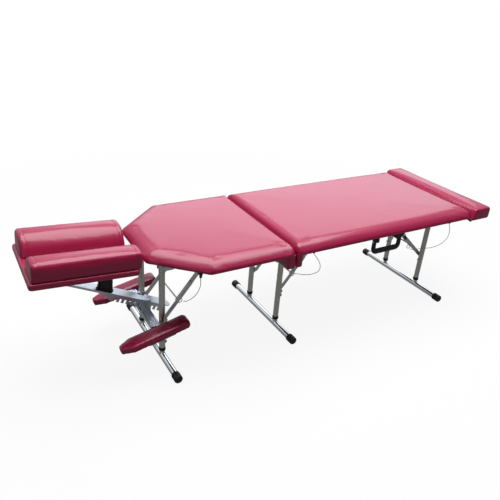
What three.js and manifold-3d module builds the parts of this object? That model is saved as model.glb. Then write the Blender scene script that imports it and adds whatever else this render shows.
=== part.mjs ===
// A folding treatment table: two padded sections that fold at the middle, a drop-down foot
// piece, a tilting head piece with arm rests, and three folding legs on telescoping feet.
// Millimetres. X runs from the head (negative) to the foot, Y from the near side to the
// far side, Z up from the floor. The origin is on the floor under the middle of the table.
import * as THREE from "three";
import { mergeVertices } from "three/addons/utils/BufferGeometryUtils.js";
import Module from "manifold-3d";

const wasm = await Module();
wasm.setup();

// Driving sizes of the whole table
const table_width = 559;
const table_height = 461;
const section_gap = 6;
const fit_gap = 0.3;
const free_gap = 0.6;
const cut_overrun = 2;
const round_sides = 12;

// Pads and decks
const pad_thickness = 42;
const pad_corner = 20;
const pad_roll = 15;
const pad_crown = 3;
const pad_tuck = 3;
const deck_thickness = 9;
const deck_inset = 24;

// Front section, narrowing to a nose at the head end
const front_length = 497;
const shoulder_length = 332;
const nose_width = 250;

// Rear section and foot piece
const rear_length = 899;
const foot_gap = 8;
const foot_length = 112;
const foot_thickness = 56;
const foot_bevel = 15;
const foot_roll = 7;

// Deep end rails at the centre fold, and the hinge along their bottom edges
const front_rail_thickness = 33;
const rear_rail_thickness = 25;
const end_rail_depth = 46;
const end_rail_inset = 3;
const end_rail_corner = 5;
const hinge_leaf = 2.4;
const hinge_pin_radius = 2.2;
const knuckle_wall = 2;
const knuckle_length = 60;
const knuckle_count = 7;
const hinge_leaf_width = 24;

// Legs: an outer tube each side, and an inner foot frame that slides in them
const leg_spacing = 210;
const leg_tube_radius = 11.1;
const leg_tube_bore = 9.2;
const leg_top_overhang = 13;
const leg_pivot_drop = 24;
const leg_axle_radius = 5;
const inner_tube_radius = 8.8;
const inner_tube_bore = 6.8;
const foot_bar_radius = 12.7;
const foot_bar_wall = 2;
const cap_radius = 15.5;
const cap_length = 34;
const cap_end = 8;
const collar_radius = 12.6;
const collar_length = 14;
const collar_drop = 37;
const height_pitch = 25;
const height_steps = 6;
const plunger_pin_radius = 2.6;
const plunger_head_radius = 5;
const plunger_head_length = 4;
const plunger_hole_radius = 3.4;

// Folding braces
const brace_anchor_drop = 18;
const brace_thickness = 3;
const brace_width = 16;
const brace_upper_width = 19;
const brace_pin_radius = 4;
const brace_hole_radius = 4.4;
const brace_rod_radius = 3;
const brace_lug_radius = 8;
const pull_ring_radius = 11;
const pull_ring_wire = 1.4;
const bracket_plate = 3;
const bracket_ear = 3;
const bracket_margin = 12;
const bracket_gusset = 38;
const bracket_strap = 34;
const cord_radius = 1.25;
const cord_steps = 28;
const cord_anchor_radius = 5;
const cord_anchor_inset = 31.5;
const cord_end_drop = 10;

// Where the legs stand, how long their foot bars are, and where their braces reach
const front_leg_set_in = 65;
const middle_leg_set_in = 54.5;
const rear_leg_set_in = 44;
const foot_bar_inset = 35;
const middle_foot_bar_inset = 69;
const brace_pin_set = 14;
const brace_pin_height = 162;
const rear_brace_pin_height = 167;
const brace_hold = 199;
const rear_brace_hold = 249;
const brace_overlap = 76;
const rear_brace_overlap = 62;
const front_plunger_height = 72;
const plunger_height = 147;

// Carry handle on the near side of the rear section
const handle_x = 430;
const handle_span = 145;
const handle_hang = 66;
const handle_post = 15;
const handle_grip = 21;
const handle_depth = 13;
const handle_corner = 22;
const handle_set_in = 9.4;
const handle_pin_drop = 11;
const handle_pin_radius = 3;
const handle_lug_width = 12;

// Case latch beside the handle: a tapered black tongue on a bright rivet
const latch_x = 514;
const latch_length = 30;
const latch_width = 13;
const latch_tip_width = 7;
const latch_depth = 5;
const latch_set_in = 2.6;
const latch_lean = 35;
const latch_rivet_radius = 2.6;
const latch_boss_radius = 6;

// Foot piece hinge
const foot_rod_radius = 4;
const foot_rod_drop = 7;
const foot_rod_offset = 1.4;
const foot_knob_radius = 6;
const foot_knob_length = 9;
const foot_knuckle_radius = 6.6;
const foot_knuckle_length = 50;
const foot_clip_length = 30;
const foot_clip_thickness = 2.4;
const foot_clip_width = 25;

// Head piece
const neck_gap = 11;
const neck_drop = 28;
const neck_axle_radius = 4;
const neck_width = 110;
const neck_ear = 4;
const neck_ear_y = 42;
const head_tilt = 3.5;
const board_length = 341;
const board_width = 301;
const board_thickness = 20;
const board_start = 13;
const board_lift = 3;
const board_corner = 12;
const head_pad_length = 340;
const head_pad_start = 5;
const head_pad_width = 122;
const head_pad_height = 61;
const head_pad_edge = 4;
const head_pad_end_roll = 12;

// Toothed rail under the head piece, and the black post that stands on it
const rail_tilt = 26.6;
const rail_reach = 160;
const rail_drop = 221;
const rail_length = 520;
const rail_width = 54;
const rail_plate = 3;
const rail_depth = 28;
const rail_rim = 8;
const rail_taper_start = 242;
const rail_taper_end = 290;
const rail_slot = 9;
const rail_pitch = 18.5;
const rail_slot_depth = 14;
const rail_first_slot = 40;
const rail_slots = 11;
const rail_hanger = 20;
const post_length = 50;
const post_width = 34;
const post_at = 265;
const post_plate = 3;

// Arm rests on their cross arm
const carriage_slot = 4;
const carriage_wall = 5;
const carriage_lip = 7;
const carriage_lip_length = 26;
const arm_width = 34;
const arm_height = 16;
const arm_clearance = 2.6;
const arm_reach = 131;
const arm_groove = 1.6;
const rest_tilt = 12.6;
const rest_length = 252;
const rest_width = 60;
const rest_thickness = 26;
const rest_y = 163.5;
const rest_setback = 18;
const rest_rise = 1;
const rest_corner = 4;
const rest_tray = 4;
const rest_lug = 2;
const rest_lug_width = 26;
const rest_pin_radius = 3;

// Shares: outlines as parts of the sizes that they follow
const roll_shares = [[0, 0], [0.08, 0.39], [0.3, 0.72], [0.62, 0.93], [1, 1]];
const crown_shares = [0.18, 0.4, 0.66, 0.86];
const head_section_shares = [
  [0.02, 0], [0, 0.36], [0.01, 0.7], [0.035, 0.84], [0.08, 0.92], [0.16, 0.96], [0.32, 1],
  [0.48, 0.99], [0.6, 0.94], [0.69, 0.84], [0.79, 0.64], [0.88, 0.38], [0.95, 0.16], [1, 0],
];
const rest_outline_shares = [
  [-0.5, -0.2], [-0.34, -0.5], [0.46, -0.5], [0.5, -0.36], [0.5, 0.36], [0.46, 0.5],
  [-0.34, 0.5], [-0.5, 0.2],
];
const bulge_share = 0.35;
const cord_tab_share = 0.85;
const foot_knuckle_share = 0.644;

// Routes of the three pull cords: how far each point lies from the cross rod of the brace
// along the table, then its shares of the way out to the anchor and of the way up to it
const cord_route_shares = {
  front: [
    [21.9, 0.000, -0.081], [25.9, 0.074, -0.052], [29.9, 0.142, 0.000], [32.9, 0.216, 0.064],
    [35.9, 0.290, 0.134], [35.9, 0.364, 0.203], [36.9, 0.432, 0.279], [35.9, 0.506, 0.360],
    [34.9, 0.580, 0.442], [32.9, 0.648, 0.529], [29.9, 0.722, 0.616], [25.9, 0.796, 0.703],
    [20.9, 0.870, 0.797], [14.9, 0.938, 0.890], [9.9, 1.000, 1.000],
  ],
  middle: [
    [11.4, 0.000, -0.041], [16.4, 0.074, -0.017], [22.4, 0.142, 0.006], [29.4, 0.216, 0.017],
    [37.4, 0.290, 0.041], [45.4, 0.364, 0.070], [52.4, 0.432, 0.110], [57.4, 0.506, 0.169],
    [59.4, 0.580, 0.244], [56.4, 0.648, 0.349], [46.4, 0.722, 0.471], [30.4, 0.796, 0.605],
    [11.4, 0.870, 0.738], [-9.6, 0.938, 0.866], [-30.6, 1.000, 1.000],
  ],
  rear: [
    [-0.8, 0.000, -0.114], [5.2, 0.037, -0.132], [15.2, 0.074, -0.132], [29.2, 0.117, -0.114],
    [42.2, 0.160, -0.091], [54.2, 0.216, -0.068], [64.2, 0.290, -0.045], [74.2, 0.364, -0.004],
    [81.2, 0.432, 0.048], [87.2, 0.506, 0.118], [90.2, 0.580, 0.199], [91.2, 0.648, 0.298],
    [86.2, 0.722, 0.408], [76.2, 0.796, 0.541], [59.2, 0.870, 0.687], [39.2, 0.938, 0.843],
    [15.2, 1.000, 1.000],
  ],
};

// Places worked out from the sizes
const half_width = table_width / 2;
const pad_bottom = table_height - pad_thickness;
const deck_bottom = pad_bottom - deck_thickness;
const front_end_x = -section_gap / 2 - front_length;
const shoulder_x = -section_gap / 2 - shoulder_length;
const rear_end_x = section_gap / 2 + rear_length;
const foot_start_x = rear_end_x + foot_gap;
const foot_end_x = foot_start_x + foot_length;
const end_rail_bottom = pad_bottom - end_rail_depth;
const hinge_z = end_rail_bottom - fit_gap - hinge_pin_radius - knuckle_wall;
const leg_y = leg_spacing / 2;
const foot_bar_z = cap_radius * Math.cos(Math.PI / round_sides);
const leg_pivot_z = deck_bottom - leg_pivot_drop;
const collar_bottom = collar_drop;
const leg_tube_end = collar_bottom + collar_length + fit_gap;
const plate_bottom = deck_bottom - fit_gap - bracket_plate;
const lower_link_y = leg_y - leg_tube_radius - 2 * free_gap - brace_thickness / 2;
const upper_link_y = lower_link_y - brace_thickness - free_gap;
const brace_anchor_z = deck_bottom - brace_anchor_drop;
const neck_x = front_end_x - neck_gap;
const neck_z = pad_bottom - neck_drop;
const head_angle = THREE.MathUtils.degToRad(head_tilt);
const rail_angle = THREE.MathUtils.degToRad(rail_tilt - head_tilt);
const head_end_x = neck_x - (board_start + board_length) * Math.cos(head_angle)
  + board_lift * Math.sin(head_angle);
const centre_x = (head_end_x + foot_end_x) / 2;
const foot_knuckle_y = half_width * foot_knuckle_share;

// Each leg: where it stands, which way it folds, how long its foot bar is, where its brace
// is pinned to it and held to the deck, how far the upper yoke reaches past the elbow, and
// how high the locking plungers sit
const leg_frames = [
  {
    name: "front", x: front_end_x + front_leg_set_in, fold: 1,
    foot_span: table_width - foot_bar_inset, pin_x: brace_pin_set,
    pin_height: brace_pin_height, hold_x: brace_hold, overlap: brace_overlap,
    plunger: front_plunger_height,
  },
  {
    name: "middle", x: section_gap / 2 + middle_leg_set_in, fold: 1,
    foot_span: table_width - middle_foot_bar_inset, pin_x: brace_pin_set,
    pin_height: brace_pin_height, hold_x: brace_hold, overlap: brace_overlap,
    plunger: plunger_height,
  },
  {
    name: "rear", x: rear_end_x - rear_leg_set_in, fold: -1,
    foot_span: table_width - foot_bar_inset, pin_x: 0,
    pin_height: rear_brace_pin_height, hold_x: rear_brace_hold,
    overlap: rear_brace_overlap, plunger: plunger_height,
  },
];

// Colours and finishes
const finish = (color, roughness, metalness) =>
  new THREE.MeshStandardMaterial({ color, roughness, metalness });
const vinyl = finish(0x96173a, 0.35, 0);
const plywood = finish(0x2a2526, 0.7, 0);
const nickel = finish(0x97948c, 0.4, 0.9);
const chrome = finish(0xc9cbcc, 0.15, 1);
const alloy = finish(0xb4bcc6, 0.35, 0.9);
const steel = finish(0x8e9091, 0.45, 0.9);
const black_plastic = finish(0x15151a, 0.5, 0);
const rubber = finish(0x101012, 0.8, 0);
const cable_grey = finish(0xb9bcbd, 0.4, 0.6);

// Solids: joining and cutting closed meshes
function solidOf(geometry) {
  const bare = geometry.clone();
  bare.deleteAttribute("normal");
  bare.deleteAttribute("uv");
  const merged = mergeVertices(bare, 1e-4);
  return new wasm.Manifold(new wasm.Mesh({
    numProp: 3,
    vertProperties: Float32Array.from(merged.attributes.position.array),
    triVerts: Uint32Array.from(merged.index.array),
  }));
}

function geometryOf(solid) {
  const mesh = solid.getMesh();
  const geometry = new THREE.BufferGeometry();
  geometry.setAttribute("position", new THREE.BufferAttribute(mesh.vertProperties, 3));
  geometry.setIndex(new THREE.BufferAttribute(mesh.triVerts, 1));
  return geometry;
}

const join = (...parts) => geometryOf(
  parts.map(solidOf).reduce((whole, part) => whole.add(part)));
const cut = (body, ...holes) => geometryOf(
  holes.map(solidOf).reduce((whole, hole) => whole.subtract(hole), solidOf(body)));

// A block between two limits on each axis, given in either order
function block([x0, x1], [y0, y1], [z0, z1]) {
  return new THREE.BoxGeometry(Math.abs(x1 - x0), Math.abs(y1 - y0), Math.abs(z1 - z0))
    .translate((x0 + x1) / 2, (y0 + y1) / 2, (z0 + z1) / 2);
}

// A round bar from one point to another, with a flat facet turned down on level bars
function bar(radius, from, to, sides = round_sides) {
  const a = new THREE.Vector3(...from);
  const b = new THREE.Vector3(...to);
  const along = b.clone().sub(a);
  const turn = new THREE.Quaternion()
    .setFromUnitVectors(new THREE.Vector3(0, 1, 0), along.clone().normalize());
  return new THREE.CylinderGeometry(radius, radius, along.length(), sides)
    .rotateY(Math.PI / sides)
    .applyQuaternion(turn)
    .translate(...a.add(b).divideScalar(2).toArray());
}

// A closed skin over rings of equally many points, flat or pointed at both ends
function skin(rings) {
  const count = rings[0].length;
  const points = rings.flat();
  const faces = [];
  const last = (rings.length - 1) * count;
  for (let r = 0; r < rings.length - 1; r++) {
    for (let i = 0; i < count; i++) {
      const a = r * count + i;
      const b = r * count + (i + 1) % count;
      faces.push(a, b, b + count, a, b + count, a + count);
    }
  }
  const middleOf = (ring) => ring
    .reduce((sum, p) => sum.add(new THREE.Vector3(...p)), new THREE.Vector3())
    .divideScalar(count).toArray();
  points.push(middleOf(rings[0]), middleOf(rings[rings.length - 1]));
  for (let i = 0; i < count; i++) {
    const next = (i + 1) % count;
    faces.push(points.length - 2, next, i);
    faces.push(points.length - 1, last + i, last + next);
  }
  const geometry = new THREE.BufferGeometry();
  geometry.setAttribute("position", new THREE.Float32BufferAttribute(points.flat(), 3));
  geometry.setIndex(faces);
  return geometry;
}

// The outline of a convex shape drawn in by an inset, its corners rounded, from its
// corner points in anticlockwise order
function outline(corners, radius, inset, steps = 4) {
  const points = [];
  corners.forEach((corner, i) => {
    const here = new THREE.Vector2(...corner);
    const before = new THREE.Vector2(...corners[(i + corners.length - 1) % corners.length]);
    const after = new THREE.Vector2(...corners[(i + 1) % corners.length]);
    const arriving = here.clone().sub(before).normalize();
    const leaving = after.clone().sub(here).normalize();
    const turn = Math.atan2(arriving.cross(leaving), arriving.dot(leaving));
    const bend = Math.max(radius - inset, radius / 8);
    const back = arriving.clone().negate().add(leaving).normalize();
    const reach = (inset + bend) / Math.cos(turn / 2);
    const centre = here.clone().add(back.multiplyScalar(reach));
    const start = Math.atan2(-arriving.x, arriving.y);
    for (let k = 0; k <= steps; k++) {
      const angle = start + turn * k / steps;
      points.push([centre.x + bend * Math.cos(angle), centre.y + bend * Math.sin(angle)]);
    }
  });
  return points;
}

// A flat board with a rounded outline, between two heights
function board(corners, radius, inset, low, high, steps = 4) {
  const ring = outline(corners, radius, inset, steps);
  return skin([low, high].map((z) => ring.map(([x, y]) => [x, y, z])));
}

// An upholstered pad: sides tucked under and bulging a little, a rolled edge, a crown
function pad(corners, radius, low, high) {
  const roll = pad_roll;
  const crown = pad_crown;
  const ringAt = (inset, z) => outline(corners, radius, inset).map(([x, y]) => [x, y, z]);
  const wall = high - crown - roll - low;
  const rings = [ringAt(pad_tuck, low), ringAt(0, low + wall * bulge_share)];
  roll_shares.forEach(([inward, upward]) => {
    rings.push(ringAt(roll * inward, high - crown - roll * (1 - upward)));
  });
  const edge = rings[rings.length - 1];
  const middle = edge.reduce((sum, [x, y]) => [sum[0] + x, sum[1] + y], [0, 0])
    .map((sum) => sum / edge.length);
  crown_shares.forEach((share) => {
    const rise = crown * (1 - (1 - share) ** 2);
    rings.push(edge.map(([x, y, z]) => [
      x + (middle[0] - x) * share, y + (middle[1] - y) * share, z + rise]));
  });
  return skin(rings);
}

// A long bar cushion from its cross-section, its two ends rolled in
function barCushion(section, length, roll) {
  const middle = section.reduce((sum, [y]) => sum + y, 0) / section.length;
  const ringAt = (x, shrink) => section.map(([y, z]) => [
    x, y + (middle - y) * shrink, z * (1 - shrink)]);
  const width = Math.max(...section.map(([y]) => Math.abs(y - middle)));
  const ends = roll_shares.map(([inward, upward]) => [inward * roll, upward]);
  const shrinkAt = (upward) => (1 - upward) * roll / width;
  const first = ends.map(([x, upward]) => ringAt(-x, shrinkAt(upward)));
  const last = ends.map(([x, upward]) => ringAt(x - length, shrinkAt(upward))).reverse();
  return skin([...first, ...last]);
}

// The scene graph
const table = new THREE.Group();
table.name = "treatment_table";
const floor_frame = new THREE.Group();
floor_frame.position.x = -centre_x;
table.add(floor_frame);

function group(parent, name, x, y, z) {
  const made = new THREE.Group();
  made.name = name;
  made.position.set(x, y, z);
  parent.add(made);
  return made;
}

function add(parent, name, geometry, material) {
  const mesh = new THREE.Mesh(geometry, material);
  mesh.name = name;
  parent.add(mesh);
  return mesh;
}

const sides = [["near", -1], ["far", 1]];

// The points of a pull cord, from the ring on the brace out to the edge of the deck
function cordRoute(name) {
  const leg = leg_frames.find((frame) => frame.name === name);
  const pin = { x: leg.fold * leg.pin_x, z: leg.pin_height - leg_pivot_z };
  const hold = { x: leg.fold * leg.hold_x, z: brace_anchor_z - leg_pivot_z };
  const rod = braceRod(leg.fold, pin, hold, leg.overlap);
  const rod_height = leg_pivot_z + rod.z;
  const way_out = half_width - cord_anchor_inset - upper_link_y;
  const way_up = deck_bottom - cord_end_drop - rod_height;
  return cord_route_shares[name].map(([along, outward, upward]) => [
    leg.x + rod.x + along, -(upper_link_y + outward * way_out), rod_height + upward * way_up]);
}

// A cord's anchor: a tab at the edge of a deck and a stud, down to where the cord ends
function cordAnchor(name) {
  const [x, y, z] = cordRoute(name).pop();
  return join(
    block([x - cord_anchor_radius, x + cord_anchor_radius], [y, y * cord_tab_share],
      [deck_bottom, pad_bottom - fit_gap]),
    bar(cord_anchor_radius, [x, y, z + cord_radius], [x, y, deck_bottom + cut_overrun], 8));
}

function endRail(x0, x1) {
  const y = half_width - end_rail_inset;
  const corners = [[x0, -y], [x1, -y], [x1, y], [x0, y]];
  return board(corners, end_rail_corner, 0, end_rail_bottom, pad_bottom - fit_gap);
}

// Front section: pad, deck and deep end rail
function makeFrontSection() {
  const corners = [
    [front_end_x, -nose_width / 2], [shoulder_x, -half_width],
    [-section_gap / 2, -half_width], [-section_gap / 2, half_width],
    [shoulder_x, half_width], [front_end_x, nose_width / 2],
  ];
  add(floor_frame, "front_pad", pad(corners, pad_corner, pad_bottom, table_height), vinyl);
  const deck = board(corners, pad_corner, deck_inset, deck_bottom, pad_bottom - fit_gap);
  const rail_end = -section_gap / 2;
  const rail = endRail(rail_end - front_rail_thickness, rail_end);
  add(floor_frame, "front_frame", join(deck, rail, cordAnchor("front")), plywood);
}

// Rear section: pad, deck with its handle lugs, latch boss and foot hinge clips, end rail
const rod_x = rear_end_x + foot_rod_offset;
const rod_z = pad_bottom - foot_rod_drop;
const handle_y = -(half_width - handle_set_in);
const handle_z = pad_bottom - handle_pin_drop;
const latch_y = -(half_width - latch_set_in - latch_depth);

function makeRearSection() {
  const corners = [
    [section_gap / 2, -half_width], [rear_end_x, -half_width],
    [rear_end_x, half_width], [section_gap / 2, half_width],
  ];
  add(floor_frame, "rear_pad", pad(corners, pad_corner, pad_bottom, table_height), vinyl);
  const deck = board(corners, pad_corner, deck_inset, deck_bottom, pad_bottom - fit_gap);
  const rail = endRail(section_gap / 2, section_gap / 2 + rear_rail_thickness);
  const frame = join(deck, rail, cordAnchor("middle"), cordAnchor("rear"), ...handleLugs(),
    ...latchBoss(), ...footClips());
  add(floor_frame, "rear_frame", frame, plywood);
}

// Two lugs inside the posts of the handle, each with a pin that a post turns on
function handleLugs() {
  const reach = handle_span / 2 - handle_post - free_gap;
  const lug_z = [handle_z - 2 * handle_pin_radius, pad_bottom - fit_gap];
  const lug_y = [handle_y - handle_depth / 2, -(half_width - deck_inset - cut_overrun)];
  return [-1, 1].flatMap((side) => {
    const outer = handle_x + side * reach;
    const inner = outer - side * handle_lug_width;
    const tip = outer + side * (free_gap + handle_post);
    return [
      block([outer, inner], lug_y, lug_z),
      bar(handle_pin_radius, [inner, handle_y, handle_z], [tip, handle_y, handle_z], 8),
    ];
  });
}

// The boss that the case latch lies against, with the rivet that it turns on
function latchBoss() {
  const top = pad_bottom - fit_gap;
  const z = top - latch_boss_radius - fit_gap;
  const back = latch_y + free_gap;
  return [
    block([latch_x - latch_boss_radius, latch_x + latch_boss_radius],
      [back, -(half_width - deck_inset - cut_overrun)], [z - latch_boss_radius, top]),
    bar(latch_rivet_radius, [latch_x, back + cut_overrun, z],
      [latch_x, latch_y - latch_depth - free_gap, z], 10),
    bar(2 * latch_rivet_radius, [latch_x, latch_y - latch_depth - free_gap, z],
      [latch_x, latch_y - latch_depth - 2 * free_gap, z], 10),
  ];
}

// Clips under the rear edge that cradle the foot hinge rod
function footClips() {
  const clip_top = rod_z - foot_rod_radius - fit_gap;
  const clip_x = [rod_x - foot_clip_length, rod_x];
  const web_x = [rod_x - foot_clip_length, rod_x - foot_clip_length / 2];
  return [-1, 0, 1].flatMap((place) => {
    const y = place * (foot_knuckle_y + foot_knuckle_length);
    const clip_y = [y - foot_clip_width / 2, y + foot_clip_width / 2];
    return [
      block(clip_x, clip_y, [clip_top - foot_clip_thickness, clip_top]),
      block(web_x, clip_y, [clip_top - foot_clip_thickness, deck_bottom + cut_overrun]),
    ];
  });
}

// Centre hinge: two leaves with interleaved knuckles on one pin; the front leaf also turns
// up behind its rail
function makeCentreHinge() {
  const radius = hinge_pin_radius + knuckle_wall;
  const span = knuckle_count * knuckle_length;
  const leaf_top = end_rail_bottom - fit_gap;
  const leaf_z = [leaf_top - hinge_leaf, leaf_top];
  const bore = bar(hinge_pin_radius + fit_gap, [0, -span, hinge_z], [0, span, hinge_z], 8);
  const rail_back = -section_gap / 2 - front_rail_thickness - fit_gap;
  const upright = block([rail_back - hinge_leaf, rail_back], [-span / 2, span / 2],
    [leaf_top - hinge_leaf, deck_bottom - fit_gap]);
  const turn = block([rail_back - hinge_leaf, -hinge_leaf_width], [-span / 2, span / 2],
    leaf_z);
  const leaf = (side, parity) => {
    const parts = [block([side * (radius + free_gap), side * (radius + hinge_leaf_width)],
      [-span / 2, span / 2], leaf_z)];
    for (let i = parity; i < knuckle_count; i += 2) {
      const start = -span / 2 + i * knuckle_length;
      const y = [start + free_gap / 2, start + knuckle_length - free_gap / 2];
      parts.push(bar(radius, [0, y[0], hinge_z], [0, y[1], hinge_z], 8));
      parts.push(block([0, side * (radius + 2 * free_gap)], y, [leaf_top, hinge_z + radius / 2]));
    }
    return parts;
  };
  add(floor_frame, "hinge_front_leaf", cut(join(...leaf(-1, 0), upright, turn), bore), steel);
  add(floor_frame, "hinge_rear_leaf", cut(join(...leaf(1, 1)), bore), steel);
  add(floor_frame, "hinge_pin",
    bar(hinge_pin_radius, [0, -span / 2, hinge_z], [0, span / 2, hinge_z], 8), steel);
}

// Foot piece: a thicker narrow pad with a bevelled edge, two knuckles on the hinge rod
function makeFootPiece() {
  const bottom = table_height - foot_thickness + fit_gap;
  const corners = (start) => [
    [start, -half_width], [foot_end_x, -half_width], [foot_end_x, half_width],
    [start, half_width],
  ];
  const ringAt = (start, inset, z) =>
    outline(corners(start), foot_roll, inset).map(([x, y]) => [x, y, z]);
  const rise = table_height - bottom;
  const rings = [
    ringAt(foot_start_x, pad_tuck / 2, bottom),
    ringAt(foot_start_x, 0, bottom + rise * bulge_share),
  ];
  roll_shares.forEach(([inward, upward]) => {
    const start = foot_start_x + foot_bevel * (bulge_share + upward * (1 - bulge_share));
    const z = table_height - pad_tuck - foot_roll * (1 - upward);
    rings.push(ringAt(start, foot_roll * inward, z));
  });
  const edge = rings[rings.length - 1];
  const middle_x = (foot_start_x + foot_bevel + foot_end_x) / 2;
  crown_shares.slice(0, 3).forEach((share) => {
    rings.push(edge.map(([x, y, z]) => [
      x + (middle_x - x) * share, y * (1 - share * foot_length / table_width),
      z + pad_tuck * (1 - (1 - share) ** 2)]));
  });
  const knuckles = [-1, 1].flatMap((side) => {
    const y = side * foot_knuckle_y;
    const y_limits = [y - foot_knuckle_length / 2, y + foot_knuckle_length / 2];
    return [
      bar(foot_knuckle_radius, [rod_x, y_limits[0], rod_z], [rod_x, y_limits[1], rod_z]),
      block([rod_x, foot_start_x + foot_roll], y_limits, [rod_z - foot_knuckle_radius, rod_z]),
    ];
  });
  const bore = bar(foot_rod_radius + fit_gap,
    [rod_x, -half_width, rod_z], [rod_x, half_width, rod_z]);
  add(floor_frame, "foot_pad", cut(join(skin(rings), ...knuckles), bore), vinyl);
  const knob_start = half_width - foot_knob_length;
  const knobs = [-1, 1].map((side) => bar(foot_knob_radius,
    [rod_x, side * knob_start, rod_z], [rod_x, side * half_width, rod_z]));
  const rod = bar(foot_rod_radius,
    [rod_x, -knob_start, rod_z], [rod_x, knob_start, rod_z]);
  add(floor_frame, "foot_hinge_rod", join(rod, ...knobs), black_plastic);
}

// Carry handle: a flat U with a deeper grip, hung on the pins of its lugs
function makeHandle() {
  const half = handle_span / 2;
  const low = -handle_hang + handle_pin_drop;
  const top = Math.sqrt((handle_pin_drop - fit_gap) ** 2 - (handle_depth / 2) ** 2);
  const shape = new THREE.Shape();
  shape.moveTo(-half, top);
  shape.lineTo(-half, low + handle_corner);
  shape.quadraticCurveTo(-half, low, -half + handle_corner, low);
  shape.lineTo(half - handle_corner, low);
  shape.quadraticCurveTo(half, low, half, low + handle_corner);
  shape.lineTo(half, top);
  shape.lineTo(half - handle_post, top);
  shape.lineTo(half - handle_post, low + handle_grip + handle_post / 2);
  shape.lineTo(half - handle_post - handle_post / 2, low + handle_grip);
  shape.lineTo(-half + handle_post + handle_post / 2, low + handle_grip);
  shape.lineTo(-half + handle_post, low + handle_grip + handle_post / 2);
  shape.lineTo(-half + handle_post, top);
  const loop = new THREE.ExtrudeGeometry(shape,
    { depth: handle_depth, bevelEnabled: false, curveSegments: 5 })
    .translate(0, 0, -handle_depth / 2)
    .rotateX(Math.PI / 2);
  const hole = bar(handle_pin_radius + fit_gap, [-handle_span, 0, 0], [handle_span, 0, 0], 8);
  const holder = group(floor_frame, "handle_axis", handle_x, handle_y, handle_z);
  add(holder, "carry_handle", cut(loop, hole), black_plastic);
}

// Case latch: a tapered tongue that turns on its rivet, hanging towards the foot end
function makeLatch() {
  const w = latch_width / 2;
  const t = latch_tip_width / 2;
  const shape = new THREE.Shape();
  shape.absarc(0, 0, w, 0, Math.PI, false);
  shape.lineTo(-t, -latch_length + t);
  shape.absarc(0, -latch_length + t, t, Math.PI, Math.PI * 2, false);
  shape.lineTo(w, 0);
  const tongue = new THREE.ExtrudeGeometry(shape,
    { depth: latch_depth, bevelEnabled: false, curveSegments: 6 })
    .rotateX(Math.PI / 2);
  const hole = bar(latch_rivet_radius + fit_gap, [0, -half_width, 0], [0, half_width, 0], 10);
  const holder = group(floor_frame, "latch_axis", latch_x, latch_y,
    pad_bottom - 2 * fit_gap - latch_boss_radius);
  holder.rotation.y = -THREE.MathUtils.degToRad(latch_lean);
  add(holder, "case_latch", cut(tongue, hole), black_plastic);
}

// One leg: its bracket, the frame of two outer tubes with collars and plungers, the foot
// frame that slides in it, and the folding brace
function makeLeg({
  name, x, fold, foot_span, pin_x, pin_height, hold_x, overlap, plunger,
}) {
  const frame = group(floor_frame, `${name}_leg_axis`, x, 0, leg_pivot_z);
  const down = (z) => z - leg_pivot_z;
  const pin = { x: fold * pin_x, z: down(pin_height) };
  const hold = { x: fold * hold_x, z: down(brace_anchor_z) };
  makeBracket(frame, name, fold, hold);
  makeLegFrame(frame, name, fold, pin, down(plunger));
  sides.forEach(([side, s]) => {
    makeCollar(frame, `${name}_collar_${side}`, s, down(collar_bottom));
    makePlunger(frame, `${name}_plunger_${side}`, fold, s, down(plunger));
  });
  makeFootFrame(frame, name, fold, foot_span, down(foot_bar_z), down(plunger));
  makeBrace(frame, name, fold, pin, hold, overlap);
}

const ear_inner_y = leg_y - leg_tube_radius - free_gap;
const ear_outer_y = leg_y + leg_tube_radius + free_gap;

function makeBracket(frame, name, fold, hold) {
  const plate_z = [plate_bottom - leg_pivot_z, plate_bottom + bracket_plate - leg_pivot_z];
  const end = hold.x + fold * bracket_margin;
  const hold_ear_y = upper_link_y - brace_thickness / 2 - free_gap;
  const parts = [block([hold.x - fold * bracket_strap, hold.x], [-leg_y, leg_y], plate_z)];
  sides.forEach(([, s]) => {
    parts.push(
      block([-fold * bracket_margin, end],
        [s * (hold_ear_y - bracket_ear), s * (ear_outer_y + bracket_ear)], plate_z),
      block([-fold * bracket_margin, fold * bracket_gusset],
        [s * ear_outer_y, s * (ear_outer_y + bracket_ear)], [-bracket_margin, plate_z[1]]),
      block([-fold * bracket_margin, fold * bracket_margin],
        [s * ear_inner_y, s * (ear_inner_y - bracket_ear)], [-bracket_margin, plate_z[1]]),
      block([hold.x - bracket_margin, hold.x + bracket_margin],
        [s * hold_ear_y, s * (hold_ear_y - bracket_ear)],
        [hold.z - bracket_margin / 2, plate_z[1]]),
      bar(brace_pin_radius, [hold.x, s * (hold_ear_y - bracket_ear), hold.z],
        [hold.x, s * (upper_link_y + brace_thickness / 2), hold.z], 8),
    );
  });
  const axle_hole = bar(leg_axle_radius + fit_gap,
    [0, -half_width, 0], [0, half_width, 0]);
  add(frame, `${name}_leg_bracket`, cut(join(...parts), axle_hole), steel);
}

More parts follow.
